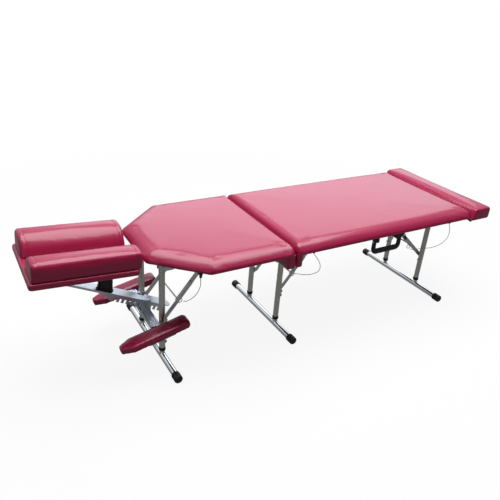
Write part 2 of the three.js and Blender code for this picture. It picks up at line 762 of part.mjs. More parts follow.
// Two outer tubes on one axle, closed at the top and open at the bottom, each with a boss
// for the brace and a hole for its plunger
function makeLegFrame(frame, name, fold, pin, plunger_z) {
  const low = leg_tube_end - leg_pivot_z;
  const axle_end = ear_outer_y + bracket_ear + free_gap;
  const solids = [bar(leg_axle_radius, [0, -axle_end, 0], [0, axle_end, 0])];
  const holes = [];
  sides.forEach(([, s]) => {
    const y = s * leg_y;
    const face_y = s * (leg_y - leg_tube_radius);
    const stub_y = s * (lower_link_y - brace_thickness / 2);
    solids.push(
      bar(leg_tube_radius, [0, y, leg_top_overhang], [0, y, low]),
      bar(brace_lug_radius, [pin.x, y, pin.z], [pin.x, face_y, pin.z], 10),
      bar(brace_pin_radius, [pin.x, y, pin.z], [pin.x, stub_y, pin.z], 8),
    );
    holes.push(
      bar(leg_tube_bore, [0, y, leg_top_overhang - cut_overrun], [0, y, low - cut_overrun]),
      bar(plunger_hole_radius, [0, y, plunger_z],
        [fold * (leg_tube_radius + cut_overrun), y, plunger_z], 8),
    );
  });
  add(frame, `${name}_leg_frame`, cut(join(...solids), ...holes), nickel);
}

function makeCollar(frame, name, s, low) {
  const y = s * leg_y;
  const ring = bar(collar_radius, [0, y, low], [0, y, low + collar_length]);
  const bore = bar(leg_tube_bore, [0, y, low - cut_overrun],
    [0, y, low + collar_length + cut_overrun]);
  add(frame, name, cut(ring, bore), black_plastic);
}

// A plunger's pin reaches through the outer tube into a hole of the inner tube
function makePlunger(frame, name, fold, s, z) {
  const neck = leg_tube_radius + free_gap;
  const tip = inner_tube_bore + free_gap;
  const head = neck + plunger_head_length;
  const profile = [
    [0, tip], [plunger_pin_radius, tip], [plunger_pin_radius, neck],
    [plunger_head_radius, neck], [plunger_head_radius, head], [0, head],
  ].map(([radius, along]) => new THREE.Vector2(radius, along));
  const shape = new THREE.LatheGeometry(profile, 10)
    .rotateZ(-fold * Math.PI / 2)
    .translate(0, s * leg_y, z);
  add(frame, name, shape, chrome);
}

function makeFootFrame(frame, name, fold, foot_span, bar_z, plunger_z) {
  const bar_end = foot_span / 2 - cap_end - fit_gap;
  const top = plunger_z + (height_steps + 1) * height_pitch;
  const solids = [bar(foot_bar_radius, [0, -bar_end, bar_z], [0, bar_end, bar_z])];
  const holes = [];
  sides.forEach(([, s]) => {
    const y = s * leg_y;
    solids.push(bar(inner_tube_radius, [0, y, bar_z], [0, y, top]));
    holes.push(
      bar(inner_tube_bore, [0, y, bar_z + foot_bar_radius], [0, y, top + cut_overrun]),
      bar(foot_bar_radius - foot_bar_wall,
        [0, s * (leg_y + inner_tube_radius + cut_overrun), bar_z],
        [0, s * (bar_end + cut_overrun), bar_z]),
    );
    for (let step = 0; step <= height_steps; step++) {
      const z = plunger_z + step * height_pitch;
      holes.push(bar(plunger_hole_radius, [0, y, z],
        [fold * (inner_tube_radius + cut_overrun), y, z], 6));
    }
  });
  add(frame, `${name}_foot_frame`, cut(join(...solids), ...holes), chrome);
  sides.forEach(([side, s]) => {
    const end = s * foot_span / 2;
    const sleeve = bar(cap_radius, [0, end - s * cap_length, bar_z], [0, end, bar_z]);
    const socket = bar(foot_bar_radius + fit_gap,
      [0, end - s * (cap_length + cut_overrun), bar_z], [0, s * (bar_end + fit_gap), bar_z]);
    add(frame, `${name}_cap_${side}`, cut(sleeve, socket), rubber);
  });
}

// The two links of a brace are in line when the leg stands. Their lengths differ by how
// far apart their outer pins lie when the leg is folded, so that they fold flat.
function braceElbow(fold, pin, hold) {
  const apart = Math.hypot(hold.x + fold * pin.z, hold.z - fold * pin.x);
  const spread = Math.sign(-pin.z - fold * hold.x) * apart;
  const reach = Math.hypot(hold.x - pin.x, hold.z - pin.z);
  const lower = (reach + spread) / 2;
  const along = { x: (hold.x - pin.x) / reach, z: (hold.z - pin.z) / reach };
  return { along, x: pin.x + along.x * lower, z: pin.z + along.z * lower };
}

// The cross rod of the upper yoke, past the elbow
function braceRod(fold, pin, hold, overlap) {
  const elbow = braceElbow(fold, pin, hold);
  return { x: elbow.x - elbow.along.x * overlap, z: elbow.z - elbow.along.z * overlap };
}

function link(width, from, to, y, holes) {
  const y_limits = [y - brace_thickness / 2, y + brace_thickness / 2];
  const disc = (at, radius, extra) => bar(radius, [at.x, y_limits[0] - extra, at.z],
    [at.x, y_limits[1] + extra, at.z], 8);
  const length = Math.hypot(to.x - from.x, to.z - from.z);
  const tilt = Math.atan2(to.z - from.z, to.x - from.x);
  const strip = block([0, length], y_limits, [-width / 2, width / 2])
    .rotateY(-tilt)
    .translate(from.x, 0, from.z);
  const body = join(strip, disc(from, width / 2, 0), disc(to, width / 2, 0));
  return cut(body, ...holes.map((at) => disc(at, brace_hole_radius, cut_overrun)));
}

// The upper yoke reaches past the elbow to its cross rod, and the pull ring hangs there
function makeBrace(frame, name, fold, pin, hold, overlap) {
  const elbow = braceElbow(fold, pin, hold);
  const end = braceRod(fold, pin, hold, overlap);
  const rod_end = upper_link_y + brace_thickness / 2;
  const inner_y = upper_link_y - brace_thickness / 2;
  const rivet_y = inner_y - brace_thickness / 2;
  const ring_y = -(rivet_y - pull_ring_wire);
  const ring = new THREE.TorusGeometry(pull_ring_radius, pull_ring_wire, 5, 14)
    .rotateX(Math.PI / 2)
    .translate(end.x + fold * pull_ring_radius * Math.SQRT1_2, ring_y,
      end.z - pull_ring_radius * Math.SQRT1_2);
  const parts = [
    bar(brace_rod_radius, [end.x, -rod_end, end.z], [end.x, rod_end, end.z], 8),
    ring,
  ];
  sides.forEach(([side, s]) => {
    parts.push(
      link(brace_upper_width, hold, end, s * upper_link_y, [hold]),
      bar(brace_pin_radius, [elbow.x, s * rivet_y, elbow.z],
        [elbow.x, s * rod_end, elbow.z], 8),
    );
    add(frame, `${name}_brace_lower_${side}`,
      link(brace_width, pin, elbow, s * lower_link_y, [pin, elbow]), steel);
  });
  add(frame, `${name}_brace_upper`, join(...parts), steel);
}

function makeCords() {
  leg_frames.forEach(({ name }) => {
    const curve = new THREE.CatmullRomCurve3(
      cordRoute(name).map((point) => new THREE.Vector3(...point)), false, "centripetal");
    const section = new THREE.Shape();
    section.absarc(0, 0, cord_radius, 0, Math.PI * 2);
    const tube = new THREE.ExtrudeGeometry(section,
      { steps: cord_steps, extrudePath: curve, curveSegments: 3 });
    add(floor_frame, `${name}_pull_cord`, tube, cable_grey);
  });
}

// Head piece: neck bracket on the front deck; board, cushions, post and rail turn on it
function makeHead() {
  const plate = block([front_end_x + deck_inset, front_end_x + deck_inset + bracket_strap],
    [-neck_width / 2, neck_width / 2], [plate_bottom, plate_bottom + bracket_plate]);
  const ears = [-1, 1].map((s) => block([neck_x - neck_axle_radius * 2,
    front_end_x + deck_inset + bracket_strap],
  [s * neck_ear_y - neck_ear / 2, s * neck_ear_y + neck_ear / 2],
  [neck_z - neck_axle_radius * 2, plate_bottom + bracket_plate]));
  const axle = bar(neck_axle_radius, [neck_x, -neck_width / 2, neck_z],
    [neck_x, neck_width / 2, neck_z]);
  add(floor_frame, "neck_bracket", join(plate, ...ears, axle), steel);

  const head = group(floor_frame, "head_tilt_axis", neck_x, 0, neck_z);
  head.rotation.y = head_angle;
  const half_board = board_width / 2;
  const board_end = -board_start - board_length;
  const board_corners = [
    [board_end, -half_board], [-board_start, -half_board], [-board_start, half_board],
    [board_end, half_board],
  ];
  const board_top = board_lift + board_thickness;
  const ringAt = (inset, z) =>
    outline(board_corners, board_corner, inset).map(([x, y]) => [x, y, z]);
  add(head, "head_board", skin([
    ringAt(pad_tuck, board_lift), ringAt(0, board_lift + board_thickness / 4),
    ringAt(0, board_top - board_thickness / 4), ringAt(pad_tuck, board_top),
  ]), vinyl);
  sides.forEach(([side, s]) => {
    const outer = half_board - head_pad_edge;
    const section = head_section_shares.map(([inward, up]) => [
      s * (outer - inward * head_pad_width), up * head_pad_height]);
    if (s > 0) section.reverse();
    const cushion = barCushion(section, head_pad_length, head_pad_end_roll)
      .translate(-head_pad_start, 0, board_top + fit_gap);
    add(head, `head_pad_${side}`, cushion, vinyl);
  });
  makeRail(head);
}

// The rail: a plate with a side flange along each edge, toothed towards its lower end,
// and a hanger that meets the board at its upper end
function makeRail(head) {
  const rail = group(head, "rail_axis", rail_reach, 0, -rail_drop);
  rail.rotation.y = rail_angle;
  const half = rail_width / 2;
  const plate = board([[-rail_length, -half], [0, -half], [0, half], [-rail_length, half]],
    half - free_gap, 0, -rail_plate, 0, 5);
  const profile = new THREE.Shape([
    [-rail_length + half, 0], [-rail_length + half, -rail_rim], [-rail_taper_end, -rail_rim],
    [-rail_taper_start, -rail_depth], [-half, -rail_depth], [-half, 0],
  ].map(([along, up]) => new THREE.Vector2(along, up)));
  const flanges = [-half + rail_plate, half].map((y) =>
    new THREE.ExtrudeGeometry(profile, { depth: rail_plate, bevelEnabled: false })
      .rotateX(Math.PI / 2)
      .translate(0, y, 0));
  const slots = Array.from({ length: rail_slots }, (_, i) => {
    const at = -rail_first_slot - i * rail_pitch;
    return block([at - rail_slot / 2, at + rail_slot / 2],
      [-half - cut_overrun, half + cut_overrun],
      [-rail_depth - cut_overrun, -rail_depth + rail_slot_depth]);
  });
  const end_x = rail_reach - (rail_length - half) * Math.cos(rail_angle);
  const end_z = -rail_drop + (rail_length - half) * Math.sin(rail_angle);
  const hanger = block([end_x, end_x + rail_hanger], [-post_width / 2, post_width / 2],
    [end_z - rail_plate / 2 - rail_hanger * Math.tan(rail_angle), board_lift - fit_gap]);
  const toothed = cut(join(plate, ...flanges), ...slots)
    .rotateY(rail_angle)
    .translate(rail_reach, 0, -rail_drop);
  add(head, "head_rail", join(toothed, hanger), alloy);
  makePost(head);
  makeArms(rail);
}

// The round-edged post stands on the rail and carries a plate under the board, with the
// two lugs that turn on the neck axle
function makePost(head) {
  const x = rail_reach - post_at * Math.cos(rail_angle);
  const z = -rail_drop + post_at * Math.sin(rail_angle);
  const w = post_width / 2;
  const l = post_length / 2;
  const plate_top = board_lift - fit_gap;
  const plate_low = plate_top - post_plate;
  const post = board([[x - l, -w], [x + l, -w], [x + l, w], [x - l, w]], w - free_gap, 0,
    z - post_length, plate_top);
  const rail_room = block([-post_length, post_length], [-post_width, post_width],
    [-2 * post_length, fit_gap])
    .rotateY(rail_angle)
    .translate(x, 0, z);
  const plate = block([x - post_length, -board_start], [-neck_width / 2, neck_width / 2],
    [plate_low, plate_top]);
  const lug_y = neck_ear_y + neck_ear + free_gap;
  const lug_end = neck_axle_radius * 2;
  const lugs = [-1, 1].map((s) => block([-board_start - post_length, lug_end],
    [s * (lug_y - neck_ear / 2), s * (lug_y + neck_ear / 2)],
    [-lug_end, plate_low + post_plate / 2]));
  const axle_hole = bar(neck_axle_radius + fit_gap, [0, -neck_width, 0], [0, neck_width, 0]);
  const nose_room = block([-board_start, lug_end + cut_overrun], [-neck_width, neck_width],
    [plate_low - free_gap, plate_top + cut_overrun]);
  add(head, "head_post",
    cut(join(cut(post, rail_room), plate, ...lugs), axle_hole, nose_room), black_plastic);
}

// A level ribbed arm under the rail, with cheeks up both sides, lips over the plate and a
// pin in one of the slots; an arm rest tilts on each end
function makeArms(rail) {
  const carriage = group(rail, "armrest_slide_axis",
    -rail_first_slot - carriage_slot * rail_pitch, 0, 0);
  const tilt = THREE.MathUtils.degToRad(rail_tilt);
  const w = arm_width / 2;
  const h = arm_height / 2;
  const g = arm_groove;
  const drop = (rail_depth + arm_clearance + w * Math.sin(tilt) + h * Math.cos(tilt))
    / Math.cos(tilt);
  const ribbed = new THREE.Shape([
    [-w, -h], [w, -h], [w, h], [w / 2 + g, h], [w / 2, h - g], [w / 2 - g, h], [g, h],
    [0, h - g], [-g, h], [-w / 2 + g, h], [-w / 2, h - g], [-w / 2 - g, h], [-w, h],
  ].map(([x, y]) => new THREE.Vector2(x, y)));
  const arm = new THREE.ExtrudeGeometry(ribbed, { depth: 2 * arm_reach, bevelEnabled: false })
    .rotateX(Math.PI / 2)
    .translate(0, arm_reach, -drop);
  const inner = rail_width / 2 + free_gap;
  const outer = inner + carriage_wall;
  const tip = arm_reach + fit_gap + rest_lug + fit_gap;
  const level = [arm, ...[-1, 1].flatMap((s) => [
    block([-w, w], [s * inner, s * outer], [-drop, 2 * free_gap + rail_plate]),
    bar(rest_pin_radius, [0, s * (arm_reach - arm_height), -drop], [0, s * tip, -drop], 8),
  ])].map((piece) => piece.rotateY(-tilt));
  const pin_z = -rail_depth + rail_slot_depth - rail_slot / 2;
  const lips = [-1, 1].map((s) =>
    block([-carriage_lip_length / 2, carriage_lip_length / 2],
      [s * (inner - carriage_lip), s * outer], [free_gap, free_gap + rail_plate]));
  const pin = bar(rail_slot / 2 - free_gap, [0, -outer, pin_z], [0, outer, pin_z], 10);
  add(carriage, "armrest_arm", join(...level, ...lips, pin), alloy);

  const holder = group(carriage, "armrest_level", 0, 0, 0);
  holder.rotation.y = -tilt;
  const pivot = group(holder, "armrest_tilt_axis", 0, 0, -drop);
  pivot.rotation.y = -THREE.MathUtils.degToRad(rest_tilt);
  sides.forEach(([side, s]) => add(pivot, `armrest_${side}`, armRest(s), vinyl));
}

// An arm rest: a padded bar on a tray, with a lug bolted to the end of the arm
function armRest(s) {
  const corners = rest_outline_shares.map(([along, across]) => [
    along * rest_length - rest_setback, across * rest_width + s * rest_y]);
  const top = rest_rise + rest_thickness / 2;
  const low = rest_rise - rest_thickness / 2;
  const roll = rest_thickness / 4;
  const ringAt = (inset, z) =>
    outline(corners, rest_corner, inset, 1).map(([x, y]) => [x, y, z]);
  const cushion = skin([
    ringAt(pad_tuck / 2, low), ringAt(0, low + roll), ringAt(0, top - roll),
    ringAt(roll / 3, top - roll / 3), ringAt(roll, top),
  ]);
  const lug_y = arm_reach + fit_gap;
  const inner_y = rest_y - rest_width / 2;
  const lug = block([-rest_lug_width / 2, rest_lug_width / 2],
    [s * lug_y, s * (inner_y + rest_tray)], [low - rest_tray, top - roll]);
  const tray = block([-rest_lug_width * 2, rest_lug_width * 2],
    [s * (inner_y + rest_tray), s * (inner_y + rest_width - rest_tray)],
    [low - rest_tray, low + fit_gap]);
  const hole = bar(rest_pin_radius + fit_gap, [0, s * (arm_reach - cut_overrun), 0],
    [0, s * (arm_reach + rest_lug + free_gap + fit_gap), 0], 8);
  return cut(join(cushion, lug, tray), hole);
}

makeFrontSection();
makeRearSection();
makeCentreHinge();
makeFootPiece();
makeHandle();
makeLatch();
leg_frames.forEach(makeLeg);
makeCords();
makeHead();

export default table;
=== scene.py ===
# %% [markdown]
# # A folding massage table
#
# This lesson dresses the imported model of a portable massage table. The imported model gives
# every size and every joint. Blender gives what the eye wants on top of that: padded vinyl,
# satin and polished tube, black fittings and thin cables.
#
# The first cell loads the imported model as a fixed frame.

# %% Load the imported model
import math

import bmesh
import bpy
from mathutils import Matrix, Vector, noise


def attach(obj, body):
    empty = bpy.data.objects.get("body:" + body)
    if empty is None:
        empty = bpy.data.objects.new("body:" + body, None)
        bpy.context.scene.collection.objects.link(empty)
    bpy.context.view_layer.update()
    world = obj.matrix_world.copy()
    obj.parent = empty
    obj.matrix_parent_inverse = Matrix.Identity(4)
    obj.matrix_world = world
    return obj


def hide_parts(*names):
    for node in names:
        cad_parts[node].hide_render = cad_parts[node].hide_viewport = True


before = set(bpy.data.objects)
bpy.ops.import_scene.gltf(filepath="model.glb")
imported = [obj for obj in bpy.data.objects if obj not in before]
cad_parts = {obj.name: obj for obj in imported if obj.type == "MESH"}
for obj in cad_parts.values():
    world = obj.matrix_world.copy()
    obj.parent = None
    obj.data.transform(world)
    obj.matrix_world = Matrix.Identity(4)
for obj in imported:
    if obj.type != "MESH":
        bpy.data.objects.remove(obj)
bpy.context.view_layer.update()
scene = bpy.context.scene
scene.view_settings.view_transform = "Standard"

MM = 0.001
FOLD_TO_MIDDLE = 78.9217
SAME_PLACE = 0.00001
SIDES = ((-1, "near"), (1, "far"))
UPRIGHT = Matrix(((1, 0, 0, 0), (0, 0, 1, 0), (0, 1, 0, 0), (0, 0, 0, 1)))

# %% [markdown]
# All sizes in this lesson are in millimetres and are measured from the centre fold, as a
# maker would mark them out on the deck. One small function turns such a point into the
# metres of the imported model, whose origin is under the middle of the whole table. Another
# adds a finished shape to the scene as an object.


# %% A point of the table in metres
def spot(x, y, z):
    return Vector(((x - FOLD_TO_MIDDLE) * MM, y * MM, z * MM))


def placed(name, shape):
    made = bpy.data.objects.new(name, shape)
    scene.collection.objects.link(made)
    return made


print("fold line at", [round(v, 4) for v in spot(0, 0, 368.5)])

# %% [markdown]
# ## Camera
#
# The camera stands off the corner of the head end, well above the table, and leans a few
# degrees. Its place and its lens were worked out from the photograph: the known width of the
# pads and the parallel edges of the table fix both.

# %% Camera
YAW, PITCH, ROLL = (math.radians(angle) for angle in (32.0, 27.1, 4.5))
CAMERA_AT = (-1022.8, -1598.1, 1282.2)
FOCAL_LENGTH, FILM_WIDTH = 38.66, 36
ahead = Vector((math.sin(YAW) * math.cos(PITCH), math.cos(YAW) * math.cos(PITCH),
                -math.sin(PITCH)))
level = Vector((math.cos(YAW), -math.sin(YAW), 0))
above = level.cross(ahead)
right = level * math.cos(ROLL) + above * math.sin(ROLL)
upward = above * math.cos(ROLL) - level * math.sin(ROLL)

lens = bpy.data.cameras.new("camera")
lens.lens = FOCAL_LENGTH
lens.sensor_width = FILM_WIDTH
lens.clip_end = 60
camera = placed("camera", lens)
turn = Matrix((right, upward, -ahead)).transposed().to_4x4()
camera.matrix_world = Matrix.Translation(spot(*CAMERA_AT)) @ turn
scene.camera = camera
print("camera at", [round(v, 3) for v in camera.location], "lens", lens.lens)

# %% [markdown]
# ## Pull cords
#
# Each leg has a thin steel cable in a clear sleeve. It hangs from the ring on the brace out
# to the edge of the deck, so that one tug breaks the brace and the leg folds. A cable is a
# curve with a round bevel. Its radius is set on the points, because Blender adds the radius
# of a curve's points to its box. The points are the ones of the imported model, so the cable
# lies where its solid does.

# %% Pull cords
CORD_RADIUS = 1.25
CORD_ROUTES = {
    "front": [
        (-346, -87.6, 214.1), (-342, -99.5, 219.1), (-338, -110.4, 228), (-335, -122.2, 239),
        (-332, -134.1, 251.1), (-332, -146, 262.9), (-331, -156.9, 276), (-332, -168.8, 289.9),
        (-333, -180.6, 304), (-335, -191.5, 319), (-338, -203.4, 334), (-342, -215.3, 348.9),
        (-347, -227.1, 365.1), (-353, -238.1, 381.1), (-358, -248, 400),
    ],
    "middle": [
        (136, -87.6, 221), (141, -99.5, 225.1), (147, -110.4, 229), (154, -122.2, 230.9),
        (162, -134.1, 235.1), (170, -146, 240), (177, -156.9, 246.9), (182, -168.8, 257.1),
        (184, -180.6, 270), (181, -191.5, 288), (171, -203.4, 309), (155, -215.3, 332.1),
        (136, -227.1, 354.9), (115, -238.1, 377), (94, -248, 400),
    ],
    "rear": [
        (790.1, -87.6, 208), (796.1, -93.5, 204.9), (806.1, -99.5, 204.9),
        (820.1, -106.4, 208), (833.1, -113.3, 212), (845.1, -122.2, 216),
        (855.1, -134.1, 219.9), (865.1, -146, 227), (872.1, -156.9, 235.9),
        (878.1, -168.8, 248), (881.1, -180.6, 262), (882.1, -191.5, 279),
        (877.1, -203.4, 298), (867.1, -215.3, 320.9), (850.1, -227.1, 346.1),
        (830.1, -238.1, 372.9), (806.1, -248, 400),
    ],
}
SECTION_OF = {"front": "front_section", "middle": "rear_section", "rear": "rear_section"}


def smooth_line(points, per):
    points = [Vector(p) for p in points]
    ends = [points[0] * 2 - points[1], *points, points[-1] * 2 - points[-2]]
    line = []
    for a, b, c, d in zip(ends, ends[1:], ends[2:], ends[3:]):
        for k in range(per):
            t = k / per
            line.append(0.5 * (2 * b + (c - a) * t + (2 * a - 5 * b + 4 * c - d) * t * t
                               + (3 * b - a - 3 * c + d) * t ** 3))
    return line + [points[-1]]


cords = {}
for name, route in CORD_ROUTES.items():
    line = bpy.data.curves.new(f"{name}_cable", "CURVE")
    line.dimensions = "3D"
    line.bevel_depth = CORD_RADIUS
    line.bevel_resolution = 3
    path = [spot(*p) for p in smooth_line(route, 2)]
    spline = line.splines.new("POLY")
    spline.points.add(len(path) - 1)
    for point, place in zip(spline.points, path):
        point.co = (*place, 1)
        point.radius = MM
    line.use_fill_caps = True
    cord = placed(f"{name}_cable", line)
    cords[name] = cord
    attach(cord, SECTION_OF[name])
    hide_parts(f"{name}_pull_cord")

# %% [markdown]
# ## Surface patterns
#
# Four patterns make up the finishes: the grain of coated cloth, the brushing of drawn tube,
# the rubbed look of an edge, and a thin film of dust on what faces up. Each is a shader node
# group that is built once, and each finish places it with its own values. A group gives out
# heights, masks and values only, and the shader itself stays in the material.


# %% Shader node groups
def shader_group(name, inputs, outputs):
    group = bpy.data.node_groups.new(name, "ShaderNodeTree")
    for label, value in inputs:
        socket = group.interface.new_socket(label, in_out="INPUT",
                                            socket_type="NodeSocketFloat")
        socket.default_value = value
    for label in outputs:
        group.interface.new_socket(label, in_out="OUTPUT", socket_type="NodeSocketFloat")
    return group, group.nodes.new("NodeGroupInput"), group.nodes.new("NodeGroupOutput")


def node(tree, kind, settings=(), values=()):
    made = tree.nodes.new(kind)
    for name, value in dict(settings).items():
        setattr(made, name, value)
    for name, value in dict(values).items():
        made.inputs[name].default_value = value
    return made


def wire(tree, *pairs):
    for start, end in pairs:
        tree.links.new(start, end)


def leather_grain():
    group, given, out = shader_group("leather_grain", [("Scale", 900.0), ("Fold", 0.35)],
                                     ["Height", "Pores"])
    place = node(group, "ShaderNodeTexCoord")
    cells = node(group, "ShaderNodeTexVoronoi", {"feature": "DISTANCE_TO_EDGE"})
    wander = node(group, "ShaderNodeTexNoise", values={"Scale": 55.0, "Detail": 4.0})
    ridge = node(group, "ShaderNodeMapRange", values={"From Max": 0.16})
    soft = node(group, "ShaderNodeMath", {"operation": "MULTIPLY"})
    total = node(group, "ShaderNodeMath", {"operation": "ADD"})
    wire(group, (place.outputs["Object"], cells.inputs["Vector"]),
         (place.outputs["Object"], wander.inputs["Vector"]),
         (given.outputs["Scale"], cells.inputs["Scale"]),
         (cells.outputs["Distance"], ridge.inputs["Value"]),
         (wander.outputs["Fac"], soft.inputs[0]), (given.outputs["Fold"], soft.inputs[1]),
         (ridge.outputs["Result"], total.inputs[0]), (soft.outputs[0], total.inputs[1]),
         (total.outputs[0], out.inputs["Height"]),
         (ridge.outputs["Result"], out.inputs["Pores"]))
    return group


def brushing():
    group, given, out = shader_group("brushing", [("Scale", 60.0), ("Stretch", 18.0)],
                                     ["Height", "Shade"])
    place = node(group, "ShaderNodeTexCoord")
    split = node(group, "ShaderNodeSeparateXYZ")
    thin = node(group, "ShaderNodeMath", {"operation": "DIVIDE"})
    join = node(group, "ShaderNodeCombineXYZ")
    lines = node(group, "ShaderNodeTexNoise", values={"Detail": 6.0, "Roughness": 0.7})
    cloud = node(group, "ShaderNodeTexNoise", values={"Scale": 7.0, "Detail": 2.0})
    wire(group, (place.outputs["Object"], split.inputs[0]),
         (split.outputs["X"], join.inputs["X"]), (split.outputs["Y"], join.inputs["Y"]),
         (split.outputs["Z"], thin.inputs[0]), (given.outputs["Stretch"], thin.inputs[1]),
         (thin.outputs[0], join.inputs["Z"]), (join.outputs[0], lines.inputs["Vector"]),
         (given.outputs["Scale"], lines.inputs["Scale"]),
         (place.outputs["Object"], cloud.inputs["Vector"]),
         (lines.outputs["Fac"], out.inputs["Height"]),
         (cloud.outputs["Fac"], out.inputs["Shade"]))
    return group


def edge_wear():
    group, given, out = shader_group("edge_wear", [("Reach", 0.54), ("Scale", 90.0)], ["Mask"])
    place = node(group, "ShaderNodeTexCoord")
    shape = node(group, "ShaderNodeNewGeometry")
    edge = node(group, "ShaderNodeMapRange", values={"From Max": 0.62})
    patch = node(group, "ShaderNodeTexNoise", values={"Detail": 5.0})
    level = node(group, "ShaderNodeMapRange", values={"From Min": 0.4, "From Max": 0.65})
    both = node(group, "ShaderNodeMath", {"operation": "MULTIPLY"})
    wire(group, (shape.outputs["Pointiness"], edge.inputs["Value"]),
         (given.outputs["Reach"], edge.inputs["From Min"]),
         (place.outputs["Object"], patch.inputs["Vector"]),
         (given.outputs["Scale"], patch.inputs["Scale"]),
         (patch.outputs["Fac"], level.inputs["Value"]),
         (edge.outputs["Result"], both.inputs[0]), (level.outputs["Result"], both.inputs[1]),
         (both.outputs[0], out.inputs["Mask"]))
    return group


def dust_film():
    group, given, out = shader_group("dust_film", [("Amount", 0.2), ("Scale", 25.0)], ["Mask"])
    place = node(group, "ShaderNodeTexCoord")
    shape = node(group, "ShaderNodeNewGeometry")
    split = node(group, "ShaderNodeSeparateXYZ")
    facing = node(group, "ShaderNodeMapRange", values={"From Min": 0.5})
    patch = node(group, "ShaderNodeTexNoise", values={"Detail": 6.0})
    share = node(group, "ShaderNodeMath", {"operation": "MULTIPLY"})
    both = node(group, "ShaderNodeMath", {"operation": "MULTIPLY"})
    wire(group, (shape.outputs["Normal"], split.inputs[0]),
         (split.outputs["Z"], facing.inputs["Value"]),
         (place.outputs["Object"], patch.inputs["Vector"]),
         (given.outputs["Scale"], patch.inputs["Scale"]),
         (patch.outputs["Fac"], share.inputs[0]), (given.outputs["Amount"], share.inputs[1]),
         (facing.outputs["Result"], both.inputs[0]), (share.outputs[0], both.inputs[1]),
         (both.outputs[0], out.inputs["Mask"]))
    return group


GRAIN, BRUSH, WEAR, DUST = leather_grain(), brushing(), edge_wear(), dust_film()
print("pattern groups", [group.name for group in (GRAIN, BRUSH, WEAR, DUST)])

# %% [markdown]
# ## Finishes
#
# The vinyl is a dark burgundy cloth with a clear glossy coat. Its top turns pink where it
# mirrors the light from above, so the colour is kept deep and the coat does the rest. The
# tubes are satin nickel, the foot bars bright chrome, the rail and the arm plain alloy. A
# finish is put together from a few small functions, which come first.


# %% Parts of a finish
GRAIN_DEPTH, BRUSH_DEPTH, BUMP_STRENGTH = 0.00012, 0.00006, 0.3


def use(tree, group, **values):
    made = node(tree, "ShaderNodeGroup")
    made.node_tree = group
    for name, value in values.items():
        made.inputs[name].default_value = value
    return made


def tinted(tree, mask, low, high):
    mix = node(tree, "ShaderNodeMix", {"data_type": "RGBA"})
    mix.inputs[6].default_value = (*low, 1)
    mix.inputs[7].default_value = (*high, 1)
    wire(tree, (mask, mix.inputs[0]))
    return mix.outputs[2]


def ranged(tree, value, low, high):
    span = node(tree, "ShaderNodeMapRange", values={"To Min": low, "To Max": high})
    wire(tree, (value, span.inputs["Value"]))
    return span.outputs["Result"]


def bumped(tree, height, depth):
    bump = node(tree, "ShaderNodeBump", values={"Strength": BUMP_STRENGTH, "Distance": depth})
    wire(tree, (height, bump.inputs["Height"]))
    return bump.outputs["Normal"]


def shader(name, **values):
    made = bpy.data.materials.new(name)
    made.use_nodes = True
    coat = made.node_tree.nodes["Principled BSDF"]
    for label, value in values.items():
        coat.inputs[label.replace("_", " ")].default_value = value
    return made, made.node_tree, coat


print("bump depths", GRAIN_DEPTH, BRUSH_DEPTH)

# %% [markdown]
# Each kind of finish is one function. The grain also changes the roughness of vinyl and
# plastic from pore to pore, and the brushing that of metal from line to line.

# %% Finishes
def vinyl(name, deep, worn):
    made, tree, coat = shader(name, Coat_Weight=0.7, Coat_Roughness=0.2, Coat_IOR=1.5,
                              Specular_IOR_Level=0.2)
    grain = use(tree, GRAIN, Scale=820.0, Fold=0.3)
    dust = use(tree, DUST, Amount=0.06, Scale=9.0)
    wire(tree, (tinted(tree, dust.outputs["Mask"], deep, worn), coat.inputs["Base Color"]),
         (ranged(tree, grain.outputs["Pores"], 0.46, 0.38), coat.inputs["Roughness"]),
         (bumped(tree, grain.outputs["Height"], GRAIN_DEPTH), coat.inputs["Normal"]))
    return made


def metal(name, dark, light, rough, scale, stretch):
    made, tree, coat = shader(name, Metallic=1.0)
    brush = use(tree, BRUSH, Scale=scale, Stretch=stretch)
    wire(tree, (tinted(tree, brush.outputs["Shade"], dark, light), coat.inputs["Base Color"]),
         (ranged(tree, brush.outputs["Height"], rough[0], rough[1]), coat.inputs["Roughness"]),
         (bumped(tree, brush.outputs["Height"], BRUSH_DEPTH), coat.inputs["Normal"]))
    return made


def plastic(name, deep, worn, rough, scale):
    made, tree, coat = shader(name, Specular_IOR_Level=0.45)
    grain = use(tree, GRAIN, Scale=scale, Fold=0.5)
    wear = use(tree, WEAR, Reach=0.52, Scale=120.0)
    wire(tree, (tinted(tree, wear.outputs["Mask"], deep, worn), coat.inputs["Base Color"]),
         (ranged(tree, grain.outputs["Pores"], rough[1], rough[0]), coat.inputs["Roughness"]),
         (bumped(tree, grain.outputs["Height"], GRAIN_DEPTH), coat.inputs["Normal"]))
    return made


VINYL = vinyl("burgundy_vinyl", (0.35, 0.004, 0.056), (0.42, 0.03, 0.11))
NICKEL = metal("satin_nickel", (0.56, 0.55, 0.51), (0.68, 0.665, 0.63), (0.22, 0.34), 900, 25)
CHROME = metal("bright_chrome", (0.72, 0.73, 0.74), (0.82, 0.83, 0.84), (0.05, 0.12), 500, 6)
ALLOY = metal("satin_alloy", (0.60, 0.65, 0.72), (0.72, 0.77, 0.83), (0.26, 0.4), 420, 1.5)
ZINC = metal("zinc_plate", (0.56, 0.56, 0.55), (0.7, 0.7, 0.69), (0.26, 0.44), 200, 2)
CABLE = metal("clear_cable", (0.5, 0.52, 0.53), (0.66, 0.68, 0.69), (0.3, 0.45), 1500, 1)
BLACK = plastic("black_plastic", (0.006, 0.006, 0.008), (0.04, 0.04, 0.045), (0.3, 0.46), 1400)
RUBBER = plastic("cap_rubber", (0.004, 0.004, 0.005), (0.03, 0.03, 0.03), (0.4, 0.58), 700)
